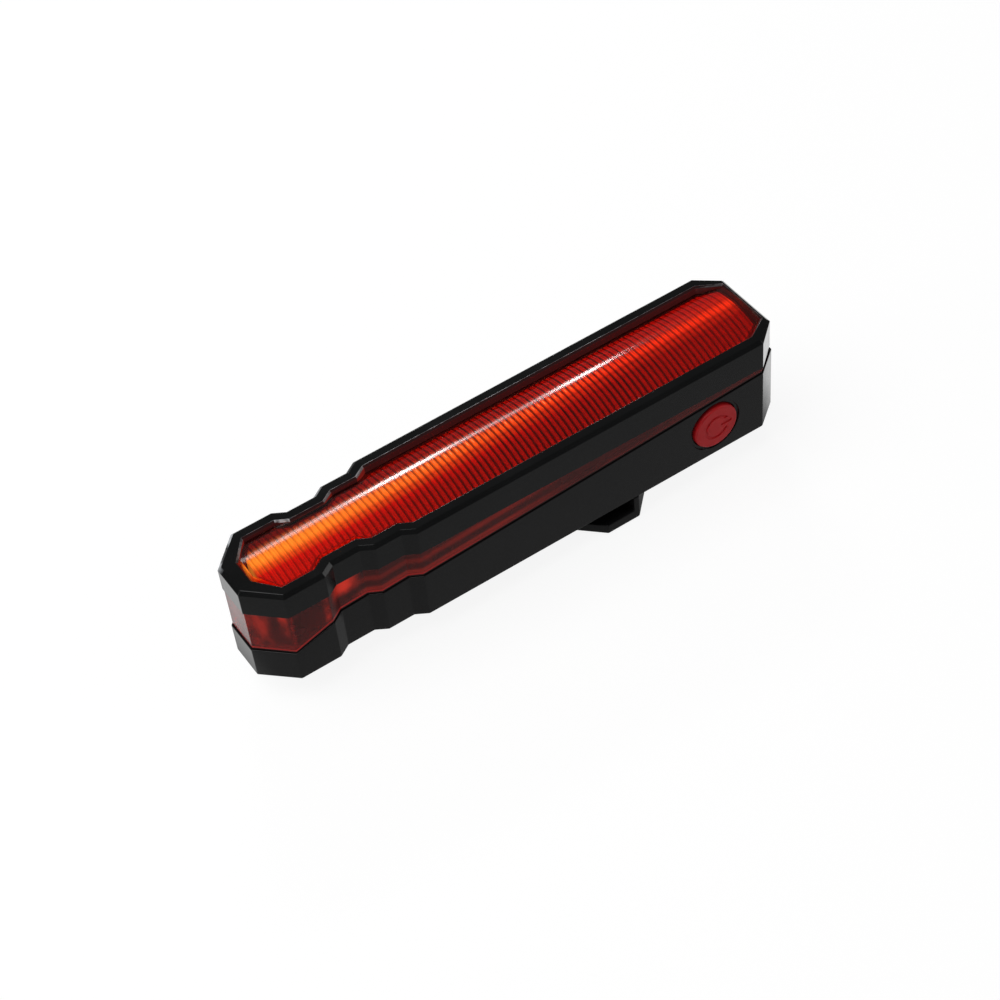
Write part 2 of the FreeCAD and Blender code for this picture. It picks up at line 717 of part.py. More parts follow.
def make_lens():
    body = new_body("lens")
    skirt = new_sketch(body, "LensSkirt")
    add_polygon(skirt, inset_outline("lens_setback"))
    pad(body, skirt, "bezel_top")
    band = new_sketch(body, "LensBandStep", "XZ_Plane")
    add_polygon(band, band_region("-band_gap", "3 * bezel_top"))
    pocket(body, band)
    upper = new_sketch(body, "LensFlange")
    add_polygon(upper, inset_outline("bezel_wall + lens_gap"))
    pad(body, upper, "flange_top")
    dome = new_sketch(body, "LensDome", lift="flange_top - flange_thickness")
    dome_outline = outline("rim_width + dome_gap", near=DOME_NEAR, far=DOME_FAR)
    add_polygon(dome, dome_outline)
    pad(body, dome, "flange_thickness + bezel_plate + dome_rise")
    hollow = new_sketch(body, "LensHollow")
    add_polygon(hollow, inset_outline(LENS_INNER))
    pocket(body, hollow, "flange_top - flange_thickness", reverse=True)
    opening = new_sketch(body, "DomeOpening")
    add_polygon(opening, outline(DOME_INNER, near=f"{DOME_NEAR} + dome_border",
                                 far=f"{DOME_FAR} - dome_border"))
    pocket(body, opening, "2 * bezel_top", reverse=True)

    # the dome's roof is a block over an inner arch, cut to the window and to the outer arch
    roof = new_sketch(body, "DomeRoof", "YZ_Plane", DOME_NEAR)
    add_arch_region(roof, "roof_half", "flange_top", "roof_rise", "dome_half", "2 * bezel_top")
    pad(body, roof, f"{DOME_FAR} - ({DOME_NEAR})")
    around = new_sketch(body, "RoofTrim", lift="flange_top")
    add_rectangle(around, "-tail_half", "overall_length + tail_half", "-2 * tail_half", "2 * tail_half")
    add_polygon(around, dome_outline)
    pocket(body, around, "2 * bezel_top", reverse=True)
    arch = new_sketch(body, "DomeArch", "YZ_Plane")
    add_arch_region(arch, "dome_half", "flange_top + flange_gap", "dome_rise",
                    "2 * tail_half", "3 * bezel_top")
    pocket(body, arch)
    seam = new_sketch(body, "LensSeam", "XZ_Plane")
    add_polygon(seam, seam_region("seam_gap", "-3 * seam_tail"))
    pocket(body, seam)

    # bosses for the case screws, the middle ones held by webs
    bosses = new_sketch(body, "LensBosses", lift="case_boss_height + boss_gap")
    add_circles(bosses, CASE_SCREWS, "boss_radius")
    pad(body, bosses, "boss_top - case_boss_height - boss_gap")
    webs = new_sketch(body, "LensWebs", lift="boss_top - web_height")
    add_rectangle(webs, "near_screw_x - web_half", "near_screw_x + web_half",
                  f"-({WEB_REACH})", WEB_REACH)
    add_rectangle(webs, "far_screw_x", f"overall_length - ({LENS_INNER}) + lens_wall / 2",
                  "-web_half", "web_half")
    pad(body, webs, "web_height")
    pilots = new_sketch(body, "LensPilots", lift="case_boss_height")
    add_circles(pilots, CASE_SCREWS, "screw_radius + screw_fit")
    pocket(body, pilots, "case_screw_length", reverse=True)
    return body


def make_bezel():
    body = new_body("bezel")
    frame = new_sketch(body, "BezelOutline", lift="bezel_top - band_far - bezel_wall")
    add_polygon(frame, outline("0"))
    pad(body, frame, "band_far + bezel_wall")
    band = new_sketch(body, "BezelBand", "XZ_Plane")
    add_polygon(band, band_region("0", "-3 * bezel_top"))
    pocket(body, band)
    hollow = new_sketch(body, "BezelHollow")
    add_polygon(hollow, inset_outline("bezel_wall"))
    pocket(body, hollow, "bezel_top - bezel_plate", reverse=True)
    dress_edges(body, "Chamfer", "Size", "bezel_bevel", level_edges(value("bezel_top")))
    window = new_sketch(body, "BezelWindow")
    add_polygon(window, outline("rim_width", near="rim_near", far="overall_length - rim_far"))
    pocket(body, window, "2 * bezel_top", reverse=True)
    dress_edges(body, "Chamfer", "Size", "rim_bevel", inner_edges(value("bezel_top")), "RimChamfer")
    return body


def make_light_guide():
    body = new_body("light_guide")
    near = f"{DOME_NEAR} + dome_border + guide_gap"
    far = f"{DOME_FAR} - dome_border - guide_gap"
    plate = new_sketch(body, "GuidePlate", lift="guide_under")
    add_polygon(plate, outline(f"{DOME_INNER} + guide_gap", near=near, far=far))
    pad(body, plate, "guide_thickness")
    arch = new_sketch(body, "GuideArch", "YZ_Plane")
    add_arch_region(arch, "roof_half", "guide_shoulder", "roof_rise", "2 * tail_half", "3 * bezel_top")
    pocket(body, arch)

    # each rib groove is a V turned about the arch's own axis
    groove = new_sketch(body, "RibGroove", "XZ_Plane")
    bind(groove, "AttachmentOffset.Base.y", f"guide_top - {ARCH_RADIUS}")
    first = f"{near} + rib_margin"
    beyond = f"{ARCH_RADIUS} + guide_thickness"
    add_polygon(groove, [(first, f"{ARCH_RADIUS} - rib_depth"),
                         (f"{first} + rib_pitch / 4", ARCH_RADIUS),
                         (f"{first} + rib_pitch / 4", beyond),
                         (f"{first} - rib_pitch / 4", beyond),
                         (f"{first} - rib_pitch / 4", ARCH_RADIUS)])
    cut = body.newObject("PartDesign::Groove", "RibGrooveCut")
    cut.Profile = groove
    cut.ReferenceAxis = (groove, ["H_Axis"])
    doc.recompute()
    ribs = body.newObject("PartDesign::LinearPattern", "Ribs")
    ribs.Originals = [cut]
    ribs.Direction = (next(item for item in body.Origin.OriginFeatures if item.Role == "X_Axis"), [""])
    span = f"{far} - ({near}) - 2 * rib_margin"
    bind(ribs, "Occurrences", f"floor(({span}) / rib_pitch) + 1")
    bind(ribs, "Length", f"floor(({span}) / rib_pitch) * rib_pitch")
    body.Tip = ribs
    return body


def make_reflector():
    body = new_body("reflector")
    tray = new_sketch(body, "ReflectorWalls", lift="board_top")
    add_rectangle(tray, "reflector_near", "reflector_far", "-reflector_half", "reflector_half")
    add_rectangle(tray, "reflector_near + reflector_wall", "reflector_far - reflector_wall",
                  "reflector_wall - reflector_half", "reflector_half - reflector_wall")
    pad(body, tray, "guide_under - board_top")
    return body


def make_mount_clip():
    body = new_body("mount_clip")
    corners = [("clip_near + clip_corner", "clip_half"), ("clip_far - clip_corner", "clip_half"),
               ("clip_far", "clip_half - clip_corner")]
    mirrored = [(along, f"-({across})") for along, across in reversed(corners)]
    nose = [("clip_near", "clip_corner - clip_half"), ("clip_near", "clip_half - clip_corner")]
    block = new_sketch(body, "ClipOutline", lift="-clip_depth")
    add_polygon(block, corners + mirrored + nose)
    pad(body, block, "clip_depth")
    slot = new_sketch(body, "ClipSlot", "XZ_Plane")
    add_rectangle(slot, "clip_near - clip_wall", "clip_far - clip_wall",
                  "clip_plate - clip_depth", "clip_depth")
    pocket(body, slot)
    dress_edges(body, "Chamfer", "Size", "clip_edge", level_edges(-value("clip_depth")))
    catch = new_sketch(body, "ClipCatch", "XZ_Plane", "-catch_half")
    add_polygon(catch, [("catch_x - catch_width / 2", "clip_plate - clip_depth"),
                        ("catch_x + catch_width / 2", "clip_plate - clip_depth"),
                        ("catch_x + catch_crest / 2", "clip_plate + catch_height - clip_depth"),
                        ("catch_x - catch_crest / 2", "clip_plate + catch_height - clip_depth")])
    pad(body, catch, "2 * catch_half")
    for name, radius, depth in (("ClipShankHoles", "screw_radius + screw_hole_gap", "2 * clip_depth"),
                                ("ClipHeadSinks", "head_radius + head_gap", CASE_SEAT)):
        holes = new_sketch(body, name, lift="-clip_depth")
        add_circles(holes, CLIP_SCREWS, radius)
        pocket(body, holes, depth, reverse=True)
    return body


# One small cross headed screw whose head rests on a seat height. It points up or down.
def make_screw(name, along, across, seat, length, upwards):
    body = new_body(name)
    head = new_sketch(body, name + "Head", lift=seat)
    add_circle(head, along, across, "head_radius")
    pad(body, head, "head_height", reverse=upwards)
    shank = new_sketch(body, name + "Shank", lift=seat)
    add_circle(shank, along, across, "screw_radius")
    pad(body, shank, length, reverse=not upwards)
    top = f"{seat} - head_height" if upwards else f"{seat} + head_height"
    cross = new_sketch(body, name + "Cross", lift=top)
    arm = [("drive_reach", "drive_half"), ("drive_half", "drive_half"), ("drive_half", "drive_reach")]
    turned = [(f"-{up}", right) for right, up in arm]
    opposite = [(f"-{right}", f"-{up}") for right, up in arm]
    last = [(up, f"-{right}") for right, up in arm]
    add_polygon(cross, [(f"{along} + ({right})", f"{across} + ({up})")
                        for right, up in arm + turned + opposite + last])
    pocket(body, cross, "drive_depth", reverse=upwards)
    return body


def make_screws(label, places, seat, length, upwards):
    names = [f"{label}_{number}" for number in range(1, len(places) + 1)]
    screws = [make_screw(name, along, across, seat, length, upwards)
              for name, (along, across) in zip(names, places)]
    return gather(label, screws)


# Several separate solids that share one node. They keep the places that they have.
def gather(label, things):
    group = doc.addObject("Part::Compound", label)
    group.Label = label
    group.Links = things
    return group


# A plain block by its centre in plan, its lower face and its three sizes.
def make_box(name, centre_x, centre_y, low, length, width, height):
    box = doc.addObject("Part::Box", name)
    box.Label = name
    bind(box, "Length", length)
    bind(box, "Width", width)
    bind(box, "Height", height)
    bind(box, "Placement.Base.x", f"{centre_x} - ({length}) / 2 - clip_centre")
    bind(box, "Placement.Base.y", f"{centre_y} - ({width}) / 2")
    bind(box, "Placement.Base.z", f"{low} + clip_depth")
    return box


def make_main_board():
    body = new_body("main_board")
    board = new_sketch(body, "BoardOutline", lift="board_under")
    half = [("neck_near", "neck_half"), ("board_near", "neck_half"), ("board_near", "board_half"),
            ("board_far", "board_half")]
    add_polygon(board, half + [(along, f"-{across}") for along, across in reversed(half)])
    add_circles(board, BOARD_POSTS, "screw_radius + screw_hole_gap")
    pad(body, board, "board_thickness")
    return body


def make_red_leds():
    last = "reflector_far - reflector_wall - led_margin - led_length / 2"
    columns = math.floor(value(f"({last} - led_first_x) / led_pitch")) + 1
    places = [(f"led_first_x + {column} * led_pitch", f"{side} * led_row_y")
              for column in range(columns) for side in SIDES.values()]
    places += [(f"neck_led_first_x + {step} * neck_led_pitch", "0") for step in range(NECK_LEDS)]
    lamps = [make_box(f"red_led_{number}", along, across, "board_top",
                      "led_length", "led_width", "led_height")
             for number, (along, across) in enumerate(places, start=1)]
    return gather("red_leds", lamps)


# A chip under the board, with its rows of legs along both long sides.
def make_chip(label, prefix, across, legs):
    along = f"{prefix}_x"
    length, width, height = (f"{prefix}_{part}" for part in ("length", "width", "height"))
    pieces = [make_box(f"{label}_body", along, across, f"board_under - {height}",
                       length, width, height)]
    for side in SIDES.values():
        for step in range(legs):
            place = f"{along} + ({step} - ({legs} - 1) / 2) * leg_pitch"
            edge = f"{across} + {side} * ({width} + leg_reach) / 2"
            pieces.append(make_box(f"{label}_leg", place, edge, "board_under - leg_height",
                                   "leg_width", "leg_reach", "leg_height"))
    chip = doc.addObject("Part::MultiFuse", label)
    chip.Label = label
    chip.Shapes = pieces
    return chip


def make_passives():
    chips = [make_box(f"passive_{step + 1}", f"passive_first_x + {step} * passive_pitch",
                      PASSIVE_Y, "board_under - passive_height",
                      "passive_length", "passive_width", "passive_height")
             for step in range(PASSIVE_COUNT)]
    return gather("board_passives", chips)


def make_battery():
    body = new_body("battery")
    cell = new_sketch(body, "BatteryEnd", "YZ_Plane", "battery_near")
    add_rectangle(cell, "-battery_half", "battery_half", "case_floor + pad_thickness",
                  "case_floor + pad_thickness + battery_height")
    pad(body, cell, "battery_length")
    dress_edges(body, "Fillet", "Radius", "battery_edge", edges_along("x"))
    return body


def make_battery_pad():
    return make_box("battery_pad", "battery_near + battery_length / 2", "0", "case_floor",
                    "battery_length - 2 * pad_margin", "2 * (battery_half - pad_margin)",
                    "pad_thickness")


# A bent wire: straight runs joined by tangent arcs, swept with a round section.
def make_wire(name, points, bend, radius):
    rounded = [points[0]]
    edges = []
    for before, corner, after in zip(points, points[1:], points[2:]):
        back = (before - corner).normalize()
        ahead = (after - corner).normalize()
        turn = math.pi - back.getAngle(ahead)
        reach = bend * math.tan(turn / 2)
        start, end = corner + back * reach, corner + ahead * reach
        centre = corner + (back + ahead).normalize() * bend / math.cos(turn / 2)
        middle = centre + (corner - centre).normalize() * bend
        edges.append(Part.LineSegment(rounded[-1], start).toShape())
        edges.append(Part.Arc(start, middle, end).toShape())
        rounded.append(end)
    edges.append(Part.LineSegment(rounded[-1], points[-1]).toShape())
    path = Part.Wire(edges)
    ring = Part.Wire([Part.Circle(points[0], points[1] - points[0], radius).toShape()])
    wire = doc.addObject("Part::Feature", name)
    wire.Label = name
    wire.Shape = path.makePipeShell([ring], True, False)
    wire.Placement.Base = FreeCAD.Vector(-value("clip_centre"), 0, value("clip_depth"))
    return wire


# A lead that runs level from one station to another and then turns straight up or down.
def make_lead(name, across, start, land, level, end, bend, radius):
    route = [(start, level), (land, level), (land, end)]
    points = [FreeCAD.Vector(value(along), value(across), value(up)) for along, up in route]
    return make_wire(name, points, value(bend), value(radius))


def make_battery_leads():
    start = "battery_near + battery_length"
    return gather("battery_leads", [
        make_lead(f"battery_lead_{name}", f"{side} * lead_y", start, f"{start} + lead_run",
                  "lead_z", "board_under", "lead_bend", "lead_radius")
        for name, side in SIDES.items()])


def make_laser_leads():
    back = "laser_front + (barrel_length + diode_proud) * cos(laser_toe * 1deg) + laser_lead_gap"
    return gather("laser_leads", [
        make_lead(f"laser_lead_{name}", f"{side} * (laser_lead_y + {step} * laser_lead_spread)",
                  back, "laser_lead_land", "laser_z", "board_top", "laser_lead_bend", "laser_lead_radius")
        for name, side in SIDES.items() for step in (-1, 1)])


def make_power_button():
    body = new_body("power_button")
    cap_back = f"{BUTTON_WALL} - flange_rest"
    cap = new_sketch(body, "ButtonCap", "XZ_Plane", f"{cap_back} - flange_depth / 2")
    add_circle(cap, "button_x", "button_z", "button_radius")
    pad(body, cap, "case_wall + flange_rest + button_proud + flange_depth / 2")
    dress_edges(body, "Fillet", "Radius", "button_edge", front_edges)
    flange = new_sketch(body, "ButtonFlange", "XZ_Plane", PLUNGER_BACK)
    add_circle(flange, "button_x", "button_z", "flange_radius")
    pad(body, flange, "flange_depth")
    face = f"{BUTTON_SIDE} + button_proud"
    ring = new_sketch(body, "PowerRing", "XZ_Plane", face)
    add_broken_ring(ring, "button_x", "button_z", "symbol_outer", "symbol_outer - symbol_stroke",
                    "symbol_opening")
    pocket(body, ring, "symbol_depth")
    bar = new_sketch(body, "PowerBar", "XZ_Plane", face)
    add_rectangle(bar, "button_x + symbol_bar_near", "button_x + symbol_bar_far",
                  "button_z - symbol_stroke / 2", "button_z + symbol_stroke / 2")
    pocket(body, bar, "symbol_depth")
    return body


def make_button_seal():
    body = new_body("button_seal")
    ring = new_sketch(body, "SealRing", "XZ_Plane", BUTTON_WALL)
    add_circle(ring, "button_x", "button_z", "seal_radius - seal_gap")
    add_circle(ring, "button_x", "button_z", "button_radius + seal_gap")
    pad(body, ring, "seal_depth - seal_gap")
    return body


def make_switch_body():
    body = new_body("switch_body")
    block = new_sketch(body, "SwitchBlock", "XZ_Plane", f"{SWITCH_FRONT} - switch_depth")
    add_rectangle(block, "button_x - switch_half", "button_x + switch_half",
                  "button_z - switch_low", "board_under")
    pad(body, block, "switch_depth")
    bore = new_sketch(body, "SwitchBore", "XZ_Plane", SWITCH_FRONT)
    add_circle(bore, "button_x", "button_z", "plunger_radius + plunger_fit")
    pocket(body, bore, "plunger_reach + button_travel + plunger_fit")
    return body


def make_switch_plunger():
    body = new_body("switch_plunger")
    pin = new_sketch(body, "PlungerPin", "XZ_Plane", f"{SWITCH_FRONT} - plunger_reach")
    add_circle(pin, "button_x", "button_z", "plunger_radius")
    pad(body, pin, "plunger_reach + switch_front_gap")
    return body


def make_socket_shell():
    body = new_body("socket_shell")
    shell = new_sketch(body, "ShellOuter", "XZ_Plane", f"-({SOCKET_FRONT} - socket_depth)")
    add_rectangle(shell, "socket_x - socket_width / 2", "socket_x + socket_width / 2",
                  f"{SOCKET_Z} - socket_height / 2", f"{SOCKET_Z} + socket_height / 2")
    pad(body, shell, "socket_depth", reverse=True)
    dress_edges(body, "Fillet", "Radius", "socket_round", edges_along("y"))
    mouth = new_sketch(body, "ShellMouth", "XZ_Plane", f"-({SOCKET_FRONT})")
    half, tall = "socket_width / 2 - socket_wall", "socket_height / 2 - socket_wall"
    add_rectangle(mouth, f"socket_x - ({half})", f"socket_x + {half}",
                  f"{SOCKET_Z} - ({tall})", f"{SOCKET_Z} + {tall}")
    pocket(body, mouth, "socket_depth - socket_wall", reverse=True)
    return body


def make_socket_tongue():
    back = f"{SOCKET_FRONT} - socket_depth + socket_wall"
    length = "socket_depth - socket_wall - tongue_setback"
    return make_box("socket_tongue", "socket_x", f"{back} + ({length}) / 2",
                    f"{SOCKET_Z} - tongue_height / 2", "tongue_width", length, "tongue_height")


def make_socket_cover():
    body = new_body("socket_cover")
    plate = new_sketch(body, "CoverPlate", "YZ_Plane", "socket_x - cover_length / 2")
    add_rectangle(plate, COVER_BACK, SOCKET_SIDE, HINGE_Z, f"{COVER_LOW} + cover_height")
    pad(body, plate, "cover_length")
    dress_edges(body, "Fillet", "Radius", "cover_corner", top_corner_edges)
    edge = new_sketch(body, "CoverHingeEdge", "YZ_Plane", "socket_x - cover_length / 2")
    add_circle(edge, HINGE_Y, HINGE_Z, "cover_thickness / 2")
    pad(body, edge, "cover_length")
    pins = new_sketch(body, "CoverTrunnions", "YZ_Plane", "socket_x - cover_length / 2 - trunnion_length")
    add_circle(pins, HINGE_Y, HINGE_Z, "trunnion_radius")
    pad(body, pins, "cover_length + 2 * trunnion_length")
    plug = new_sketch(body, "CoverPlug", "XZ_Plane", f"-({COVER_BACK} + cover_thickness / 2)")
    add_rectangle(plug, "socket_x - plug_width / 2", "socket_x + plug_width / 2",
                  f"{SOCKET_Z} - plug_height / 2", f"{SOCKET_Z} + plug_height / 2")
    pad(body, plug, "plug_depth + cover_thickness / 2")
    tab = new_sketch(body, "CoverTab", "XZ_Plane", f"-({SOCKET_SIDE} - cover_thickness / 2)")
    top = f"{COVER_LOW} + cover_height - tab_inset"
    add_rectangle(tab, "socket_x - tab_length / 2", "socket_x + tab_length / 2",
                  f"{top} - tab_height", top)
    pad(body, tab, "tab_proud + cover_thickness / 2", reverse=True)
    return body


# A round piece on a laser's axis. Its own X axis runs back from the barrel's front.
def new_laser_body(label, side):
    body = doc.addObject("PartDesign::Body", label)
    body.Label = label
    bind(body, "Placement.Base.x", "laser_front - clip_centre")
    bind(body, "Placement.Base.y", f"{side} * laser_y")
    bind(body, "Placement.Base.z", "laser_z + clip_depth")
    bind(body, "Placement.Rotation.Angle", f"{-side} * laser_toe")
    return body


def make_round(label, side, start, length, radius, bore=None):
    body = new_laser_body(label, side)
    rod = new_sketch(body, label + "Rod", "YZ_Plane", start)
    add_circle(rod, "0", "0", radius)
    if bore:
        add_circle(rod, "0", "0", bore)
    pad(body, rod, length)
    return body


def make_lasers():
    diode_start = "barrel_length - diode_depth + diode_proud"
    made = {}
    for name, side in SIDES.items():
        for piece, start, length, radius, bore in (
                ("barrel", "0", "barrel_length", "barrel_radius", "barrel_bore"),
                ("optic", "optic_setback", "optic_depth", "optic_radius", None),
                ("diode", diode_start, "diode_depth", "diode_radius", None)):
            label = f"laser_{piece}_{name}"
            made[label] = make_round(label, side, start, length, radius, bore)
    return made


def make_laser_holder():
    block = make_box("holder_block", "(holder_near + holder_far) / 2", "0", "case_floor",
                     "holder_far - holder_near", "2 * holder_half", "holder_top - case_floor")
    bores = [make_round(f"holder_bore_{name}", side, "-barrel_length", "3 * barrel_length",
                        "barrel_radius + holder_fit") for name, side in SIDES.items()]
    tools = doc.addObject("Part::MultiFuse", "holder_bores")
    tools.Shapes = bores
    holder = doc.addObject("Part::Cut", "laser_holder")
    holder.Label = "laser_holder"
    holder.Base = block
    holder.Tool = tools
    return holder


parts = {
    "rear_case": make_rear_case(),
    "case_gasket": make_case_gasket(),
    "lens": make_lens(),
    "bezel": make_bezel(),
    "light_guide": make_light_guide(),
    "reflector": make_reflector(),
    "mount_clip": make_mount_clip(),
    "case_screws": make_screws("case_screws", CASE_SCREWS, CASE_SEAT, "case_screw_length", True),
    "clip_screws": make_screws("clip_screws", CLIP_SCREWS, CLIP_SEAT, "clip_screw_length", True),
    "board_screws": make_screws("board_screws", BOARD_POSTS, "board_top", "board_screw_length", False),
    "main_board": make_main_board(),
    "red_leds": make_red_leds(),
    "charge_led": make_box("charge_led", "charge_led_x", "charge_led_y", "board_top",
                           "passive_length", "passive_width", "charge_led_height"),
    "controller_chip": make_chip("controller_chip", "controller", CONTROLLER_Y, CONTROLLER_LEGS),
    "charger_chip": make_chip("charger_chip", "charger", "charger_y", CHARGER_LEGS),
    "board_passives": make_passives(),
    "battery": make_battery(),
    "battery_pad": make_battery_pad(),
    "battery_leads": make_battery_leads(),
    "power_button": make_power_button(),
    "button_seal": make_button_seal(),
    "switch_body": make_switch_body(),
    "switch_plunger": make_switch_plunger(),
    "socket_shell": make_socket_shell(),
    "socket_tongue": make_socket_tongue(),
    "socket_cover": make_socket_cover(),
    "laser_holder": make_laser_holder(),
    "laser_leads": make_laser_leads(),
}
parts.update(make_lasers())

doc.recompute()
for item in doc.Objects:
    if "Invalid" in item.State or "Error" in item.State:
        raise RuntimeError(f"{item.Label} failed: {item.State}")
for node, item in parts.items():
    if item.Shape.isNull() or not item.Shape.isValid():
        raise RuntimeError(f"{node} has no valid shape")

os.makedirs("parts", exist_ok=True)
for node, item in parts.items():
    item.Shape.exportStep(f"parts/{node}.step")
    box = item.Shape.BoundBox
    corners = [round(side, 2) for side in (box.XMin, box.YMin, box.ZMin, box.XMax, box.YMax, box.ZMax)]
    print(node, len(item.Shape.Solids), round(item.Shape.Volume, 2), corners)
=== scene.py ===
import bpy
import json
import math
from mathutils import Matrix, Vector

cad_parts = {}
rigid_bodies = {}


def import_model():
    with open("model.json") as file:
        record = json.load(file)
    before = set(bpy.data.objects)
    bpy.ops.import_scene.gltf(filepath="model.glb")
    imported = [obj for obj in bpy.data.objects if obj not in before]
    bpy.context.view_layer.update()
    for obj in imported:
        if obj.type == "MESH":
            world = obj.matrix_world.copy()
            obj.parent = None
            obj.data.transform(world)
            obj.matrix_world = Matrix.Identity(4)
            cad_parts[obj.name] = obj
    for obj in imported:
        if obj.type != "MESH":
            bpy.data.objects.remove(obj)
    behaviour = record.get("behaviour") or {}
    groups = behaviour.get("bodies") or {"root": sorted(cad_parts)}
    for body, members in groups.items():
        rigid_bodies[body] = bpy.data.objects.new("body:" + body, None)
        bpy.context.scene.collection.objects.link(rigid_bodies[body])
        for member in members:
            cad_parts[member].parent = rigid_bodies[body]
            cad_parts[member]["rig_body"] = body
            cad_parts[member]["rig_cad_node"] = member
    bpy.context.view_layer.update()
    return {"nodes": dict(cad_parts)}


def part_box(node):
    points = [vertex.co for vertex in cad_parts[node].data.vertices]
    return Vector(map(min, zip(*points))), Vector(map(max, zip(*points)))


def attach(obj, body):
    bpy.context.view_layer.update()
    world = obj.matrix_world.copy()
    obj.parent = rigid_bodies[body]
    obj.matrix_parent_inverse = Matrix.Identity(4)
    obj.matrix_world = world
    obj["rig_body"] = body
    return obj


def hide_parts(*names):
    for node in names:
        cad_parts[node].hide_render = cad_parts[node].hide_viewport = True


# Bicycle tail light lying on its clip: red ribbed lens in a black bezel, wedge case below.
# +X runs to the tail end, +Z out of the lens, and the button side is -Y. Sizes are in mm.

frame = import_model()
nodes = frame["nodes"]
mm = 0.001


def metres(numbers):
    return [number * mm for number in numbers]


print("camera")
cameraLook = {
    "place": (-139.8588, -219.4994, 286.9616),
    "turn": (42.03107, 4.47736, -34.04093),
    "lens": 81.9546,
    "nearest": 10,
}
bpy.ops.object.camera_add(location=metres(cameraLook["place"]),
                          rotation=[math.radians(angle) for angle in cameraLook["turn"]])
camera = bpy.context.object
camera.data.lens = cameraLook["lens"]
camera.data.clip_start = cameraLook["nearest"] * mm
bpy.context.scene.camera = camera
bpy.context.scene.view_settings.view_transform = "Standard"


print("light")
# The strips behind the light draw the long highlight on the dome. Each fades to its long edges,
# and its strength changes along it as a row of windows does: pairs of place and strength.
lampLooks = {
    "overheadSoftbox": {
        "place": (-450, 100, 900), "aim": (-10, 0, 10), "along": (0, 1, 0),
        "size": (820, 820), "power": 5.4,
    },
    "backStrip": {
        "place": (161, 477, 339), "aim": (-26, 0, 26), "along": (170, -29, -18),
        "size": (176, 100), "power": 2.1,
        "fade": ((0.0, 0.0), (0.14, 0.06), (0.26, 0.26), (0.42, 1.0), (0.56, 0.17),
                 (0.8, 0.1), (0.87, 0.85), (0.94, 0.8), (0.98, 0.0)),
    },
    "noseStrip": {
        "place": (88, 466, 366), "aim": (-54, 0, 26), "along": (168, -14, -50),
        "size": (64, 120), "power": 0.15,
        "fade": ((0.0, 0.3), (0.3, 1.0), (0.6, 0.9), (1.0, 0.0)),
    },
    "noseSoftbox": {
        "place": (-760, 160, 240), "aim": (-40, 0, 12), "along": (0, 1, 0),
        "size": (320, 320), "power": 0.6,
    },
    "tailSoftbox": {
        "place": (700, -460, 260), "aim": (20, 0, 12), "along": (0, 1, 0),
        "size": (320, 320), "power": 0.6,
    },
}


def addLamp(name, look):
    place = Vector(look["place"])
    back = (place - Vector(look["aim"])).normalized()
    along = Vector(look["along"])
    along = (along - back * along.dot(back)).normalized()
    turn = Matrix((along, back.cross(along), back)).transposed().to_euler()
    bpy.ops.object.light_add(type="AREA", location=place * mm, rotation=turn)
    lamp = bpy.context.object
    lamp.name = name
    lamp.data.shape = "RECTANGLE"
    lamp.data.size, lamp.data.size_y = metres(look["size"])
    lamp.data.energy = look["power"]
    return lamp


def fadeLamp(lamp, fade):
    lamp.data.use_nodes = True
    lampNodes, lampLinks = lamp.data.node_tree.nodes, lamp.data.node_tree.links
    split = lampNodes.new("ShaderNodeSeparateXYZ")
    lampLinks.new(lampNodes.new("ShaderNodeNewGeometry").outputs["Parametric"], split.inputs[0])
    lengthwise = lampNodes.new("ShaderNodeValToRGB")
    stops = lengthwise.color_ramp.elements
    while len(stops) < len(fade):
        stops.new(0.5)
    for stop, (place, strength) in zip(stops, fade):
        stop.position = place
        stop.color = (strength, strength, strength, 1)
    lampLinks.new(split.outputs["X"], lengthwise.inputs[0])
    across = lampNodes.new("ShaderNodeMath")
    across.operation = "PINGPONG"
    across.inputs[1].default_value = 0.5
    lampLinks.new(split.outputs["Y"], across.inputs[0])
    soft = lampNodes.new("ShaderNodeMapRange")
    soft.interpolation_type = "SMOOTHSTEP"
    soft.inputs["From Max"].default_value = 0.5
    lampLinks.new(across.outputs[0], soft.inputs["Value"])
    product = lampNodes.new("ShaderNodeMath")
    product.operation = "MULTIPLY"
    lampLinks.new(lengthwise.outputs[0], product.inputs[0])
    lampLinks.new(soft.outputs[0], product.inputs[1])
    lampLinks.new(product.outputs[0], lampNodes["Emission"].inputs["Strength"])


for lampName, lampLook in lampLooks.items():
    newLamp = addLamp(lampName, lampLook)
    if "fade" in lampLook:
        fadeLamp(newLamp, lampLook["fade"])

# The studio is dim for the light's own reflections and white where the camera sees past the floor.
worldLook = {"horizon": 0.09, "zenith": 0.1, "low": 0.28, "high": 0.62}
world = bpy.data.worlds.new("studio")
bpy.context.scene.world = world
world.use_nodes = True
worldNodes, worldLinks = world.node_tree.nodes, world.node_tree.links
skySplit = worldNodes.new("ShaderNodeSeparateXYZ")
worldLinks.new(worldNodes.new("ShaderNodeTexCoord").outputs["Generated"], skySplit.inputs["Vector"])
skyRange = worldNodes.new("ShaderNodeMapRange")
skySockets = {"From Min": "low", "From Max": "high", "To Min": "horizon", "To Max": "zenith"}
for socket, word in skySockets.items():
    skyRange.inputs[socket].default_value = worldLook[word]
worldLinks.new(skySplit.outputs["Z"], skyRange.inputs["Value"])
skySeen = worldNodes.new("ShaderNodeMath")
skySeen.operation = "MAXIMUM"
worldLinks.new(skyRange.outputs["Result"], skySeen.inputs[0])
worldLinks.new(worldNodes.new("ShaderNodeLightPath").outputs["Is Camera Ray"], skySeen.inputs[1])
worldLinks.new(skySeen.outputs[0], worldNodes["Background"].inputs["Strength"])
worldNodes["Background"].inputs["Color"].default_value = (1, 1, 1, 1)


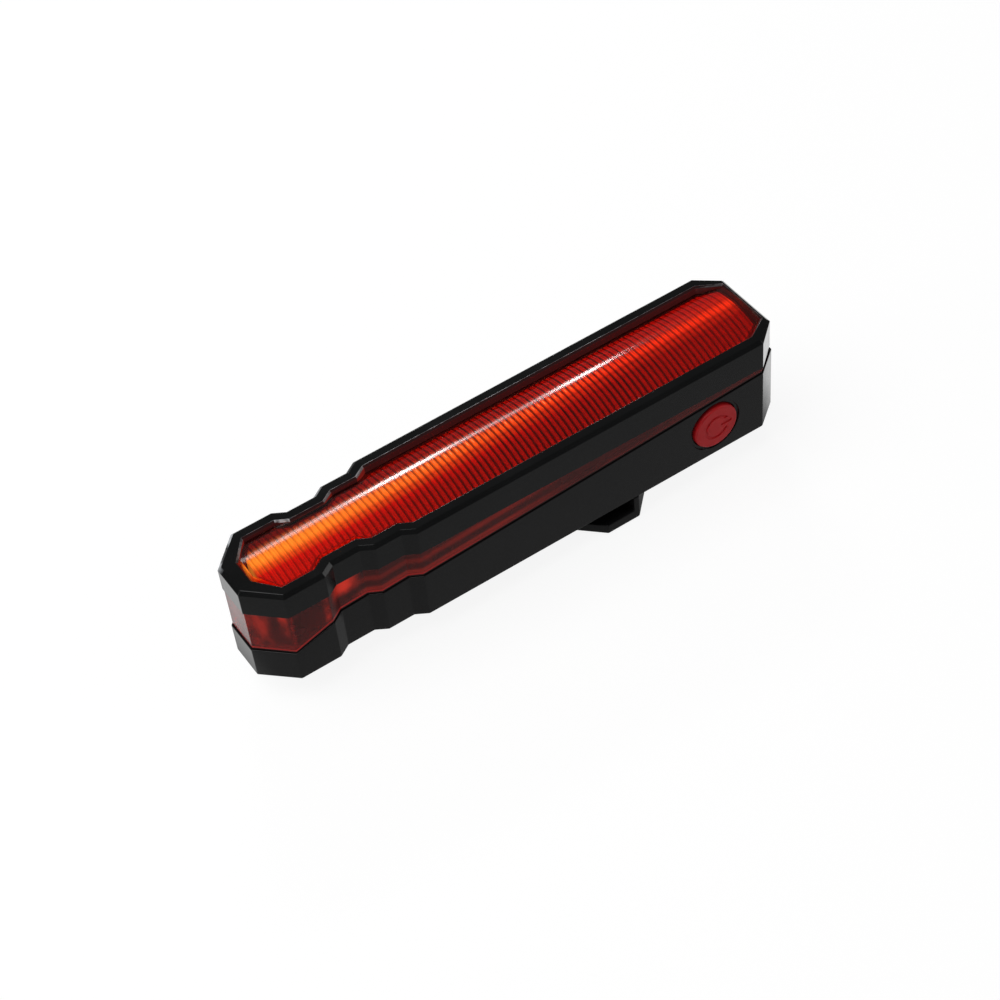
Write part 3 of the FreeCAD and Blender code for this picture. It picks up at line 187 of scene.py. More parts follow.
# A material. It starts with one shader and the piece's own Object coordinates.
class Finish:
    def __init__(self, name, **sockets):
        self.material = bpy.data.materials.new(name)
        self.material.use_nodes = True
        self.nodes = self.material.node_tree.nodes
        self.links = self.material.node_tree.links
        self.shader = self.nodes["Principled BSDF"]
        self.place = self.add("TexCoord").outputs["Object"]
        for socket, amount in sockets.items():
            self.set(self.shader, socket, amount)

    def set(self, node, socket, amount):
        words = {"baseColor": "Base Color", "roughness": "Roughness", "metallic": "Metallic", "ior": "IOR",
                 "specular": "Specular IOR Level", "coat": "Coat Weight", "coatRoughness": "Coat Roughness",
                 "transmission": "Transmission Weight", "emissionStrength": "Emission Strength"}
        if isinstance(amount, tuple):
            amount = amount + (1,)
        node.inputs[words[socket]].default_value = amount

    def add(self, kind):
        return self.nodes.new("ShaderNode" + kind)

    def math(self, operation, first, second=None, clamp=False):
        node = self.add("Math")
        node.operation = operation
        node.use_clamp = clamp
        for index, amount in enumerate((first, second)):
            if isinstance(amount, (int, float)):
                node.inputs[index].default_value = amount
            elif amount is not None:
                self.links.new(amount, node.inputs[index])
        return node.outputs[0]

    def times(self, *amounts):
        product = amounts[0]
        for amount in amounts[1:]:
            product = self.math("MULTIPLY", product, amount)
        return product

    def away(self, amount, place):
        return self.math("ABSOLUTE", self.math("SUBTRACT", amount, place))

    def along(self, axis):
        split = self.add("SeparateXYZ")
        self.links.new(self.place, split.inputs[0])
        return split.outputs[axis]

    def noise(self, scale, detail, stretch=(1, 1, 1), roughness=0.5):
        spread = self.add("Mapping")
        spread.inputs["Scale"].default_value = stretch
        self.links.new(self.place, spread.inputs["Vector"])
        node = self.add("TexNoise")
        for socket, number in (("Scale", scale), ("Detail", detail), ("Roughness", roughness)):
            node.inputs[socket].default_value = number
        self.links.new(spread.outputs[0], node.inputs["Vector"])
        return node.outputs["Fac"]

    def span(self, amount, fromLow, fromHigh, toLow=0.0, toHigh=1.0, smooth=False):
        node = self.add("MapRange")
        if smooth:
            node.interpolation_type = "SMOOTHSTEP"
        limits = {"From Min": fromLow, "From Max": fromHigh, "To Min": toLow, "To Max": toHigh}
        for socket, number in limits.items():
            node.inputs[socket].default_value = number
        self.links.new(amount, node.inputs["Value"])
        return node.outputs["Result"]

    # A share that rises over the first two limits and falls again over the second two.
    def band(self, amount, rise, fall):
        return self.times(self.span(amount, *rise, smooth=True), self.span(amount, *fall, smooth=True))

    def blend(self, share, first, second, kind="MIX"):
        node = self.add("Mix")
        node.data_type = "RGBA"
        node.blend_type = kind
        node.clamp_factor = False
        for index, colour in ((6, first), (7, second)):
            if isinstance(colour, tuple):
                node.inputs[index].default_value = colour + (1,)
            else:
                self.links.new(colour, node.inputs[index])
        self.links.new(share, node.inputs[0])
        return node.outputs[2]

    def mixShaders(self, share, first, second):
        node = self.add("MixShader")
        for index, output in enumerate((share, first, second)):
            self.links.new(output, node.inputs[index])
        return node.outputs[0]

    def drive(self, socket, amount):
        self.links.new(amount, self.shader.inputs[socket])

    def twoTone(self, share, limits, first, second):
        self.drive("Base Color", self.blend(self.span(share, *limits), first, second))

    def unevenGloss(self, share, gloss):
        self.drive("Roughness", self.span(share, 0.3, 0.7, *gloss))

    def bump(self, height, depth):
        node = self.add("Bump")
        node.inputs["Distance"].default_value = depth * mm
        node.inputs["Strength"].default_value = 1.0
        self.links.new(height, node.inputs["Height"])
        self.drive("Normal", node.outputs[0])

    def finishSurface(self, output):
        self.links.new(output, self.nodes["Material Output"].inputs["Surface"])


print("floor")
# White to the camera. Only in the light's reflections, the floor carries a painted pool of light beyond
# its two ends and a painted shadow in front of it, and it is dim far behind, where the studio is dark.
floorLook = {
    "reach": 6000, "drop": 0.02, "colour": 0.86, "roughness": 0.9, "glow": 1.12, "glowShare": 0.8,
    "poolGlow": 1.05, "dimGlow": 0.25, "middle": -16.6, "poolEnds": (48.5, 55.5),
    "poolFront": (-8, 0), "poolBack": (95, 45), "poolShift": (-20, 20), "poolTail": 0.42,
}
bpy.ops.mesh.primitive_plane_add(size=floorLook["reach"] * mm, location=(0, 0, -floorLook["drop"] * mm))
floor = bpy.context.object
floor.name = "floor"
paint = Finish("floorPaint", baseColor=(floorLook["colour"],) * 3, roughness=floorLook["roughness"],
               specular=0.0)
floorX, floorY = paint.along("X"), paint.along("Y")
fromMiddle = paint.away(floorX, floorLook["middle"] * mm)
poolDepth = paint.band(floorY, metres(floorLook["poolFront"]), metres(floorLook["poolBack"]))
poolEnds = paint.span(fromMiddle, *metres(floorLook["poolEnds"]), smooth=True)
tailward = paint.span(floorX, *metres(floorLook["poolShift"]), smooth=True)
tailShare = paint.math("ADD", paint.times(tailward, floorLook["poolTail"]), 1.0)
pool = paint.times(poolDepth, poolEnds, tailShare)
poolRise = floorLook["poolGlow"] - floorLook["dimGlow"]
# The painted pool of light and the dim painted shade are seen only in reflections.
mirrored = paint.math("ADD", paint.times(pool, poolRise), floorLook["dimGlow"])
rays = paint.add("LightPath")
seen = rays.outputs["Is Camera Ray"]
bounced = paint.math("MAXIMUM", rays.outputs["Is Glossy Ray"], rays.outputs["Is Transmission Ray"])
glow = paint.add("Emission")
glowStrength = paint.math("ADD", paint.times(seen, floorLook["glow"]), paint.times(bounced, mirrored))
paint.links.new(glowStrength, glow.inputs["Strength"])
glowShare = paint.math("ADD", paint.times(seen, floorLook["glowShare"]), bounced)
paint.finishSurface(paint.mixShaders(glowShare, paint.shader.outputs[0], glow.outputs[0]))
floor.data.materials.append(paint.material)


print("materials")
patternLook = {"clouds": 90, "patches": 260, "tarnish": 300}


# Moulded plastic or rubber: two near shades, uneven gloss and a fine grain.
def mouldedFinish(name, look):
    finish = Finish(name, roughness=look["gloss"][0], specular=look.get("specular", 0.5))
    finish.twoTone(finish.noise(patternLook["clouds"], 4), (0.35, 0.65), look["dark"], look["light"])
    finish.unevenGloss(finish.noise(patternLook["patches"], 3), look["gloss"])
    finish.bump(finish.noise(look["grainScale"], 2), look["grainDepth"])
    return finish


# Metal: two near shades of tarnish under fine scratches that run one way.
def metalFinish(name, look):
    finish = Finish(name, metallic=1.0, roughness=look["gloss"][0])
    finish.twoTone(finish.noise(patternLook["tarnish"], 4), (0.35, 0.7), look["dark"], look["light"])
    scratches = finish.noise(look["brushScale"], 2, look["brush"])
    finish.unevenGloss(scratches, look["gloss"])
    finish.bump(scratches, look["grainDepth"])
    return finish


plasticLooks = {
    "case_plastic": {"dark": (0.0045, 0.0045, 0.0048), "light": (0.0065, 0.0065, 0.0068),
                     "gloss": (0.15, 0.21), "specular": 0.4, "grainScale": 6400, "grainDepth": 0.0003},
    "bezel_plastic": {"dark": (0.004, 0.0044, 0.0046), "light": (0.006, 0.0064, 0.0066),
                      "gloss": (0.12, 0.17), "specular": 0.4, "grainScale": 6400, "grainDepth": 0.0003},
    "clip_plastic": {"dark": (0.007, 0.007, 0.0075), "light": (0.011, 0.011, 0.0115), "gloss": (0.36, 0.48),
                     "specular": 0.28, "grainScale": 2600, "grainDepth": 0.008},
    "gasket_rubber": {"dark": (0.012, 0.012, 0.012), "light": (0.02, 0.02, 0.02), "gloss": (0.6, 0.75),
                      "grainScale": 2400, "grainDepth": 0.01},
    "reflector_white": {"dark": (0.74, 0.74, 0.72), "light": (0.82, 0.82, 0.8), "gloss": (0.3, 0.4),
                        "grainScale": 2000, "grainDepth": 0.004},
    "foam_pad": {"dark": (0.02, 0.02, 0.022), "light": (0.05, 0.05, 0.052), "gloss": (0.85, 0.95),
                 "grainScale": 3600, "grainDepth": 0.05},
    "button_rubber": {"dark": (0.62, 0.009, 0.014), "light": (0.72, 0.013, 0.018), "gloss": (0.36, 0.46),
                      "specular": 0.4, "grainScale": 3000, "grainDepth": 0.004},
    "seal_rubber": {"dark": (0.015, 0.015, 0.015), "light": (0.025, 0.025, 0.025), "gloss": (0.5, 0.6),
                    "grainScale": 2600, "grainDepth": 0.008},
    "cover_rubber": {"dark": (0.009, 0.009, 0.0095), "light": (0.014, 0.014, 0.0145), "gloss": (0.5, 0.62),
                     "specular": 0.35, "grainScale": 2600, "grainDepth": 0.01},
    "switch_resin": {"dark": (0.018, 0.018, 0.02), "light": (0.03, 0.03, 0.032), "gloss": (0.3, 0.42),
                     "grainScale": 2800, "grainDepth": 0.005},
    "plunger_resin": {"dark": (0.32, 0.3, 0.26), "light": (0.4, 0.38, 0.33), "gloss": (0.35, 0.45),
                      "grainScale": 2800, "grainDepth": 0.004},
    "tongue_resin": {"dark": (0.012, 0.012, 0.014), "light": (0.02, 0.02, 0.022), "gloss": (0.3, 0.42),
                     "grainScale": 2800, "grainDepth": 0.004},
    "holder_plastic": {"dark": (0.014, 0.014, 0.015), "light": (0.022, 0.022, 0.023), "gloss": (0.4, 0.5),
                       "grainScale": 2400, "grainDepth": 0.008},
    "chip_resin": {"dark": (0.014, 0.014, 0.015), "light": (0.022, 0.022, 0.024), "gloss": (0.45, 0.6),
                   "grainScale": 5200, "grainDepth": 0.008},
}
metalLooks = {
    "screw_steel": {"dark": (0.36, 0.36, 0.37), "light": (0.52, 0.52, 0.53), "gloss": (0.24, 0.36),
                    "brushScale": 1800, "brush": (1, 1, 9), "grainDepth": 0.004},
    "socket_steel": {"dark": (0.5, 0.5, 0.5), "light": (0.62, 0.62, 0.61), "gloss": (0.22, 0.34),
                     "brushScale": 1500, "brush": (14, 1, 14), "grainDepth": 0.003},
    "barrel_brass": {"dark": (0.5, 0.34, 0.13), "light": (0.66, 0.46, 0.19), "gloss": (0.18, 0.3),
                     "brushScale": 1600, "brush": (12, 1, 1), "grainDepth": 0.004},
    "diode_can": {"dark": (0.48, 0.42, 0.32), "light": (0.6, 0.55, 0.44), "gloss": (0.2, 0.3),
                  "brushScale": 1600, "brush": (12, 1, 1), "grainDepth": 0.003},
}
finishes = {slot: mouldedFinish(slot, look) for slot, look in plasticLooks.items()}
finishes.update({slot: metalFinish(slot, look) for slot, look in metalLooks.items()})

# The bezel has painted highlights, pale in fine broken lines where its far inner edge and its nose roll
# over, and its inner walls carry a painted red glow for the light of the ribs. The tilts are parts of the
# surface normal.
bezelLook = {
    "endWalls": (-16.6, 34.0), "sideWalls": (0.0, 2.0), "upward": (0.2, 0.4),
    "rimHighlight": (0.66, 0.67, 0.7), "rimHighlightTilt": ((0.26, 0.36), (0.66, 0.56)), "rimHighlightFar": (2, 3),
    "rimHighlightTail": (24, 26), "rimHighlightNose": (-50, -40), "noseShare": 0.45, "rimHighlightFade": (24, 0),
    "fadeShare": 0.3, "breakScale": 1500, "breakShare": (0.36, 0.6, 0.25, 1.0),
    "cornerHighlight": (0.7, 0.72, 0.75), "cornerHighlightTilt": ((0.2, 0.36), (0.88, 0.74)), "cornerHighlightFar": (2, 4),
    "cornerHighlightTop": (24.3, 24.7), "cornerHighlightNose": (-40, -50), "cornerHighlightScale": 420, "cornerHighlightPatches": (0.44, 0.56),
    "wallTilt": (0.55, 0.85), "wallGlow": (0.03, 0.0045, 0.0045), "behindGlow": (0.24, 0.012, 0.008),
}
bezelFinish = finishes["bezel_plastic"]
bezelX, bezelY, bezelZ = bezelFinish.along("X"), bezelFinish.along("Y"), bezelFinish.along("Z")
facing = bezelFinish.add("SeparateXYZ")
bezelFinish.links.new(bezelFinish.add("NewGeometry").outputs["Normal"], facing.inputs[0])


def inwardFace(axis, centre, reach):
    side = bezelFinish.span(bezelFinish.along(axis), (centre - reach) * mm, (centre + reach) * mm, -1.0, 1.0)
    return bezelFinish.times(facing.outputs[axis], side, -1.0)


inwardEnds = inwardFace("X", *bezelLook["endWalls"])
inward = bezelFinish.math("MAXIMUM", inwardFace("Y", *bezelLook["sideWalls"]), inwardEnds)
upward = bezelFinish.span(facing.outputs["Z"], *bezelLook["upward"])
# Painted highlight: pale broken lines along the far inner edge and the tail end, weaker towards the nose.
paintedRimHighlight = bezelFinish.times(
    bezelFinish.band(inward, *bezelLook["rimHighlightTilt"]),
    upward,
    bezelFinish.math("MAXIMUM", bezelFinish.span(bezelY, *metres(bezelLook["rimHighlightFar"])),
                bezelFinish.span(bezelX, *metres(bezelLook["rimHighlightTail"]))),
    bezelFinish.span(bezelX, *metres(bezelLook["rimHighlightNose"]), bezelLook["noseShare"], 1.0),
    bezelFinish.span(bezelX, *metres(bezelLook["rimHighlightFade"]), bezelLook["fadeShare"], 1.0),
    bezelFinish.span(bezelFinish.noise(bezelLook["breakScale"], 3, (0.5, 1, 1)), *bezelLook["breakShare"]))
# Painted highlight: pale patches on the top where the far side of the nose rolls over.
paintedCornerHighlight = bezelFinish.times(
    bezelFinish.band(bezelFinish.times(inwardEnds, -1.0), *bezelLook["cornerHighlightTilt"]),
    upward,
    bezelFinish.span(bezelY, *metres(bezelLook["cornerHighlightFar"])),
    bezelFinish.span(bezelZ, *metres(bezelLook["cornerHighlightTop"])),
    bezelFinish.span(bezelX, *metres(bezelLook["cornerHighlightNose"])),
    bezelFinish.span(bezelFinish.noise(bezelLook["cornerHighlightScale"], 2), *bezelLook["cornerHighlightPatches"]))
plain = bezelFinish.shader.inputs["Base Color"].links[0].from_socket
bezelFinish.drive("Base Color", bezelFinish.blend(paintedCornerHighlight, bezelFinish.blend(paintedRimHighlight, plain, bezelLook["rimHighlight"]),
                                        bezelLook["cornerHighlight"]))
# Painted red glow on the inner walls, stronger on those facing +Y or +X.
behind = bezelFinish.math("MAXIMUM", facing.outputs["Y"], facing.outputs["X"], clamp=True)
wallGlow = bezelFinish.blend(behind, bezelLook["wallGlow"], bezelLook["behindGlow"])
wallShare = bezelFinish.span(inward, *bezelLook["wallTilt"], smooth=True)
bezelFinish.drive("Emission Color", bezelFinish.blend(wallShare, (0.0, 0.0, 0.0), wallGlow))
bezelFinish.set(bezelFinish.shader, "emissionStrength", 1.0)


# Battery pouch: silver foil with creases and a warm tint.
foilLook = {"dark": (0.46, 0.46, 0.45), "light": (0.62, 0.62, 0.6), "gloss": (0.22, 0.4),
            "creaseScale": 240, "creaseDepth": 0.12}
foil = Finish("battery_foil", metallic=0.9, roughness=0.3)
creases = foil.noise(foilLook["creaseScale"], 5, (1, 0.6, 1), 0.62)
foil.twoTone(creases, (0.3, 0.7), foilLook["dark"], foilLook["light"])
foil.unevenGloss(foil.noise(900, 3), foilLook["gloss"])
foil.bump(creases, foilLook["creaseDepth"])
finishes["battery_foil"] = foil

# Circuit board: green solder mask over copper runs, with rows of bright round pads.
boardLook = {
    "mask": (0.008, 0.075, 0.028), "run": (0.02, 0.16, 0.06), "pad": (0.72, 0.6, 0.3), "runPitch": 1.27,
    "runLength": 7.3, "runGap": 0.11, "runShift": 0.37, "padPitch": (1.6, 2.05), "padEdge": (0.3, 0.24),
    "relief": 0.03,
}
board = Finish("board_laminate", roughness=0.3, coat=0.4, coatRoughness=0.15)
runs = board.add("TexBrick")
runs.offset = boardLook["runShift"]
runs.inputs["Scale"].default_value = 1.0
runs.inputs["Brick Width"].default_value = boardLook["runLength"] * mm
runs.inputs["Row Height"].default_value = boardLook["runPitch"] * mm
runs.inputs["Mortar Size"].default_value = boardLook["runGap"] * mm
runs.inputs["Mortar Smooth"].default_value = 0.2
board.links.new(board.place, runs.inputs["Vector"])
mask = board.blend(runs.outputs["Fac"], boardLook["mask"], boardLook["run"])
fromPad = []
for axis, pitch in zip("XY", metres(boardLook["padPitch"])):
    fromRow = board.math("PINGPONG", board.math("ADD", board.along(axis), 0.1), pitch)
    fromPad.append(board.math("POWER", fromRow, 2.0))
padDisc = board.math("SQRT", board.math("ADD", *fromPad))
padShare = board.span(padDisc, *metres(boardLook["padEdge"]))
board.drive("Base Color", board.blend(padShare, mask, boardLook["pad"]))
board.drive("Metallic", padShare)
board.bump(runs.outputs["Fac"], boardLook["relief"])
finishes["board_laminate"] = board

# Lamp packages: pale resin, a little uneven.
packageLook = {"pale": (0.8, 0.75, 0.68), "dull": (0.72, 0.66, 0.6)}
lampPackage = Finish("lamp_package", roughness=0.25, coat=0.5, coatRoughness=0.05)
grit = lampPackage.noise(2600, 3)
lampPackage.twoTone(grit, (0.3, 0.7), packageLook["dull"], packageLook["pale"])
lampPackage.bump(grit, 0.01)
finishes["lamp_package"] = lampPackage

chargeLook = {"deep": (0.12, 0.6, 0.18), "pale": (0.2, 0.75, 0.26)}
lampGreen = Finish("lamp_green", roughness=0.2, transmission=0.35)
lampGreen.twoTone(lampGreen.noise(2200, 2), (0.3, 0.7), chargeLook["deep"], chargeLook["pale"])
finishes["lamp_green"] = lampGreen

# Small ceramic parts: tan, with fine speckles.
ceramicLook = {"dark": (0.3, 0.22, 0.14), "light": (0.42, 0.32, 0.21)}
chipCeramic = Finish("chip_ceramic", roughness=0.4)
speckle = chipCeramic.noise(3800, 4)
chipCeramic.twoTone(speckle, (0.3, 0.7), ceramicLook["dark"], ceramicLook["light"])
chipCeramic.bump(speckle, 0.01)
finishes["chip_ceramic"] = chipCeramic

# Wires: red on the left side of each pair, black on the right.
leadLook = {"left": (0.5, 0.02, 0.02), "right": (0.02, 0.02, 0.022), "divide": (-0.02, 0.02),
            "gloss": (0.32, 0.46)}
lead = Finish("lead_insulation", roughness=0.38, specular=0.45)
lead.twoTone(lead.along("Y"), metres(leadLook["divide"]), leadLook["right"], leadLook["left"])
lead.unevenGloss(lead.noise(1500, 3), leadLook["gloss"])
lead.bump(lead.noise(2600, 2), 0.01)
finishes["lead_insulation"] = lead

opticLook = {"tint": (0.96, 0.98, 1.0), "bend": 1.5, "gloss": (0.01, 0.05)}
opticGlass = Finish("optic_glass", baseColor=opticLook["tint"], transmission=1.0, roughness=0.02,
                    ior=opticLook["bend"])
opticGlass.unevenGloss(opticGlass.noise(1200, 2), opticLook["gloss"])
finishes["optic_glass"] = opticGlass

# Ribbed light guide: deep red, with a painted glow as a bright orange line along its crest that is widest
# and yellowest at the laser end. Each groove is a painted dark line of shade, and each rib gets a painted
# glint beside the crest. Towards the far side and the nose a second, fainter dark line is painted between
# two grooves.
guideLook = {
    "noseward": (8, -56), "streakScale": 420, "streakStretch": (5, 0.55, 0.3), "mottle": (0.76, 1.12),
    "flank": (0.235, 0.004, 0.001), "flankNose": (0.44, 0.009, 0.002), "flankFall": 3.2,
    "far": (0.36, 0.007, 0.003), "farNose": (0.12, 0.006, 0.004), "farRise": (1.0, 3.2),
    "crest": (0.82, 0.068, 0.013), "crestNose": (1.0, 0.68, 0.08), "crestFall": 1.5, "crestPlace": 1.05,
    "crestShift": 0.3, "crestReach": (1.7, 2.4), "shoulder": 0.24, "shoulderReach": (2.9, 1.7),
    "nearGlow": (0.85, 0.014, 0.004), "nearShare": 0.24, "nearRise": (-3.4, -1.4), "nearFall": (1.0, 0.0),
    "nearEnds": (12, -24),
    "margin": 0.7, "pitch": 1.06, "groove": (0.3, 0.12), "between": (0.4, 0.5), "betweenShare": 0.8,
    "doubleFar": (0.1, 1.6), "doubleNose": (-46, -54), "shade": 0.1,
    "depthMiddle": -6, "depthEnds": (12, 44), "grooveShade": (0.85, 0.36),
    "glint": (1.0, 0.8, 0.35), "glintPlace": 1.25, "glintReach": (0.75, 0.1), "glintMiddle": -22,
    "glintEnds": (30, 12), "glintPatches": (0.35, 0.6), "selfGlow": 0.34,
}
guide = Finish("guide_red", roughness=0.4, specular=0.06)
guideX, guideY = guide.along("X"), guide.along("Y")
streaks = guide.noise(guideLook["streakScale"], 3, guideLook["streakStretch"], 0.6)
mottle = guide.span(streaks, 0.3, 0.7, *guideLook["mottle"])
noseward = guide.span(guideX, *metres(guideLook["noseward"]))
noseTip = guide.math("POWER", noseward, guideLook["crestFall"])

# Its colours without the grooves: the near and far flanks, the painted glow beside the crest, the crest's
# painted glow.
flankTip = guide.math("POWER", noseward, guideLook["flankFall"])
flank = guide.blend(flankTip, guideLook["flank"], guideLook["flankNose"])
farSide = guide.blend(noseTip, guideLook["far"], guideLook["farNose"])
sides = guide.blend(guide.span(guideY, *metres(guideLook["farRise"]), smooth=True), flank, farSide)
nearShare = guide.times(
    guide.band(guideY, metres(guideLook["nearRise"]), metres(guideLook["nearFall"])),
    guideLook["nearShare"],
    guide.span(guideX, *metres(guideLook["nearEnds"])))
sides = guide.blend(nearShare, sides, guideLook["nearGlow"])
crestEnds = metres((guideLook["crestPlace"], guideLook["crestPlace"] - guideLook["crestShift"]))
offCrest = guide.away(guideY, guide.span(noseTip, 0.0, 1.0, *crestEnds))
crestReach = guide.span(noseward, 0.0, 1.0, *metres(guideLook["crestReach"]))
crestLine = guide.span(guide.math("DIVIDE", offCrest, crestReach), 1.0, 0.1, smooth=True)
shoulder = guide.times(guide.span(offCrest, *metres(guideLook["shoulderReach"]), smooth=True),
                       guideLook["shoulder"])
crestShare = guide.math("MULTIPLY", guide.math("MAXIMUM", shoulder, crestLine), mottle, clamp=True)
lit = guide.blend(crestShare, sides, guide.blend(noseTip, guideLook["crest"], guideLook["crestNose"]))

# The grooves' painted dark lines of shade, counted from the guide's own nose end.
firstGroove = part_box("light_guide")[0][0] + guideLook["margin"] * mm
ribPlace = guide.math("DIVIDE", guide.math("SUBTRACT", guideX, firstGroove), guideLook["pitch"] * mm)
ribOffset = guide.times(guide.math("PINGPONG", ribPlace, 0.5), guideLook["pitch"])
grooved = guide.span(ribOffset, *guideLook["groove"], smooth=True)
between = guide.span(ribOffset, *guideLook["between"], smooth=True)
doubled = guide.math("MAXIMUM", guide.span(guideY, *metres(guideLook["doubleFar"])),
                     guide.span(guideX, *metres(guideLook["doubleNose"])))
lines = guide.math("MAXIMUM", grooved, guide.times(between, doubled, guideLook["betweenShare"]))
# How strong the painted shade in the grooves is: strongest near the middle, weaker towards both ends.
fromDepthMiddle = guide.away(guideX, guideLook["depthMiddle"] * mm)
grooveShade = guide.span(fromDepthMiddle, *metres(guideLook["depthEnds"]), *guideLook["grooveShade"])
shading = guide.math("MULTIPLY", guide.times(lines, grooveShade), mottle, clamp=True)
# Painted glints, one on each rib beside the crest.
offGlint = guide.away(guideY, guideLook["glintPlace"] * mm)
glintBand = guide.times(
    guide.span(offGlint, *metres(guideLook["glintReach"]), smooth=True),
    guide.span(guide.away(guideX, guideLook["glintMiddle"] * mm), *metres(guideLook["glintEnds"])))
glintPatches = guide.span(streaks, *guideLook["glintPatches"])
glint = guide.math("MULTIPLY", guide.times(between, glintBand), glintPatches, clamp=True)
ribbed = guide.blend(shading, lit, (guideLook["shade"],) * 3, kind="MULTIPLY")
ribbed = guide.blend(glint, ribbed, guideLook["glint"])
guide.drive("Base Color", ribbed)
# Painted glow: the guide gives off its own colours faintly, though it is no lamp.
guide.drive("Emission Color", ribbed)
guide.set(guide.shader, "emissionStrength", guideLook["selfGlow"])
finishes["guide_red"] = guide

# Lens: clear red plastic over the ribs, hazy down its skirt. It lets the lamps through, and its
# lower edge along the seam carries a painted glow, a thin bright line over a painted dark shadow in the
# gap.
lensLook = {
    "window": (0.97, 0.55, 0.42), "skirt": (0.42, 0.016, 0.01), "windowHeight": (21.4, 23.4),
    "haze": (0.09, 0.006, 0.004), "hazeShare": (0.5, 0.95), "hazeScale": 190, "hazeGloss": 0.14,
    "hazeSheen": 0.3, "within": (0.985, 0.74, 0.65), "bend": 1.49,
    "clear": (0.09, 0.11), "frosted": (0.2, 0.28), "unevenScale": 260,
    "waveScale": 120, "waveDepth": 0.008,
    "seamNose": (-61.1, 11.55, 0.3214), "seamTail": (-54.1, 13.8, 0.0503),    # place, height, slope
    "edge": (0.5, 0.012, 0.01), "edgeGlow": 0.75, "edgeHeight": (0.92, 0.72), "edgeFade": (-38, -8),
    "edgeShare": (0.82, 0.1), "gapShadow": (0.012, 0.001, 0.001), "gapShadowHeight": (0.5, 0.38),
    "spot": (0.5, 0.02, 0.008), "spotRise": 2.2, "spotScale": 330, "spotPatches": (0.38, 0.62, 0.12, 1.0),
    "spots": ((-64.7, 1.5, 12.3, 1.0), (-62.1, 0.8, 14.8, 1.3),    # place, reach, foot, strength
              (-54.9, 0.85, 14.2, 1.4), (-50.8, 3.3, 16.4, 2.4)),
    "streaks": ((1.35, 0.75, 0.62), (3.75, 0.95, 0.42)),    # height, reach, strength
    "streakRise": (-50, -47), "streakFall": (-4, -24),
    "streakScale": 150, "streakPatches": (0.25, 0.7, 0.55, 1.1),
}
lens = Finish("lens_red", transmission=1.0, ior=lensLook["bend"])
lensX, lensZ = lens.along("X"), lens.along("Z")
clearShare = lens.span(lensZ, *metres(lensLook["windowHeight"]))
underRim = lens.math("SUBTRACT", 1.0, clearShare)
lensTint = lens.blend(clearShare, lensLook["skirt"], lensLook["window"])


def seamLine(start, height, slope):
    return lens.math("ADD", lens.times(lens.math("SUBTRACT", lensX, start * mm), slope), height * mm)


seamSlopes = lens.math("MINIMUM", seamLine(*lensLook["seamNose"]), seamLine(*lensLook["seamTail"]))
overSeam = lens.math("SUBTRACT", lensZ, lens.math("MAXIMUM", lensLook["seamNose"][1] * mm, seamSlopes))
# Painted shadow darkens the gap along the seam; just above it, a painted glow makes the lower edge a thin
# bright line.
gapShadowShare = lens.span(overSeam, *metres(lensLook["gapShadowHeight"]), smooth=True)
lipShare = lens.times(lens.math("SUBTRACT", 1.0, gapShadowShare),
                      lens.span(overSeam, *metres(lensLook["edgeHeight"]), smooth=True))
edged = lens.blend(lipShare, lensTint, lensLook["edge"])
lens.drive("Base Color", lens.blend(gapShadowShare, edged, lensLook["gapShadow"]))
inside = lens.add("NewGeometry").outputs["Backfacing"]
outside = lens.math("SUBTRACT", 1.0, inside)
lipGlow = lens.times(lipShare, lens.span(lensX, *metres(lensLook["edgeFade"]), *lensLook["edgeShare"]))

# Painted glow also stands for light gathered in the skirt's corners, as soft upright spots, and as streaks
# along it.
spotGlow = 0.0
for place, reach, foot, strength in lensLook["spots"]:
    column = lens.span(lens.away(lensX, place * mm), reach * mm, 0.1 * mm, toHigh=strength, smooth=True)
    raised = lens.span(lensZ, foot * mm, (foot + lensLook["spotRise"]) * mm, smooth=True)
    spotGlow = lens.math("ADD", spotGlow, lens.times(column, raised))
spotClouds = lens.noise(lensLook["spotScale"], 3, (1, 1, 0.7))
gatherGlow = lens.times(spotGlow, lens.span(spotClouds, *lensLook["spotPatches"]))
streakRun = lens.band(lensX, metres(lensLook["streakRise"]), metres(lensLook["streakFall"]))
for height, reach, strength in lensLook["streaks"]:
    offStreak = lens.away(overSeam, height * mm)
    streak = lens.span(offStreak, reach * mm, 0.1 * mm, toHigh=strength, smooth=True)
    streakClouds = lens.noise(lensLook["streakScale"], 2, (0.4, 1, 1.2))
    streak = lens.times(streak, streakRun, lens.span(streakClouds, *lensLook["streakPatches"]))
    gatherGlow = lens.math("ADD", gatherGlow, streak)
gathered = lens.blend(lens.times(gatherGlow, underRim, outside), (0.0, 0.0, 0.0), lensLook["spot"])
lens.drive("Emission Color", lens.blend(lens.times(lipGlow, outside), gathered, lensLook["edge"]))
lens.set(lens.shader, "emissionStrength", lensLook["edgeGlow"])

surfaceNoise = lens.noise(lensLook["unevenScale"], 1)
clearGloss = lens.span(surfaceNoise, 0.35, 0.7, *lensLook["clear"])
frostedGloss = lens.span(surfaceNoise, 0.35, 0.7, *lensLook["frosted"])
glossDrop = lens.times(lens.math("SUBTRACT", frostedGloss, clearGloss), clearShare)
lens.drive("Roughness", lens.math("SUBTRACT", frostedGloss, glossDrop))
lens.bump(lens.noise(lensLook["waveScale"], 0), lensLook["waveDepth"])

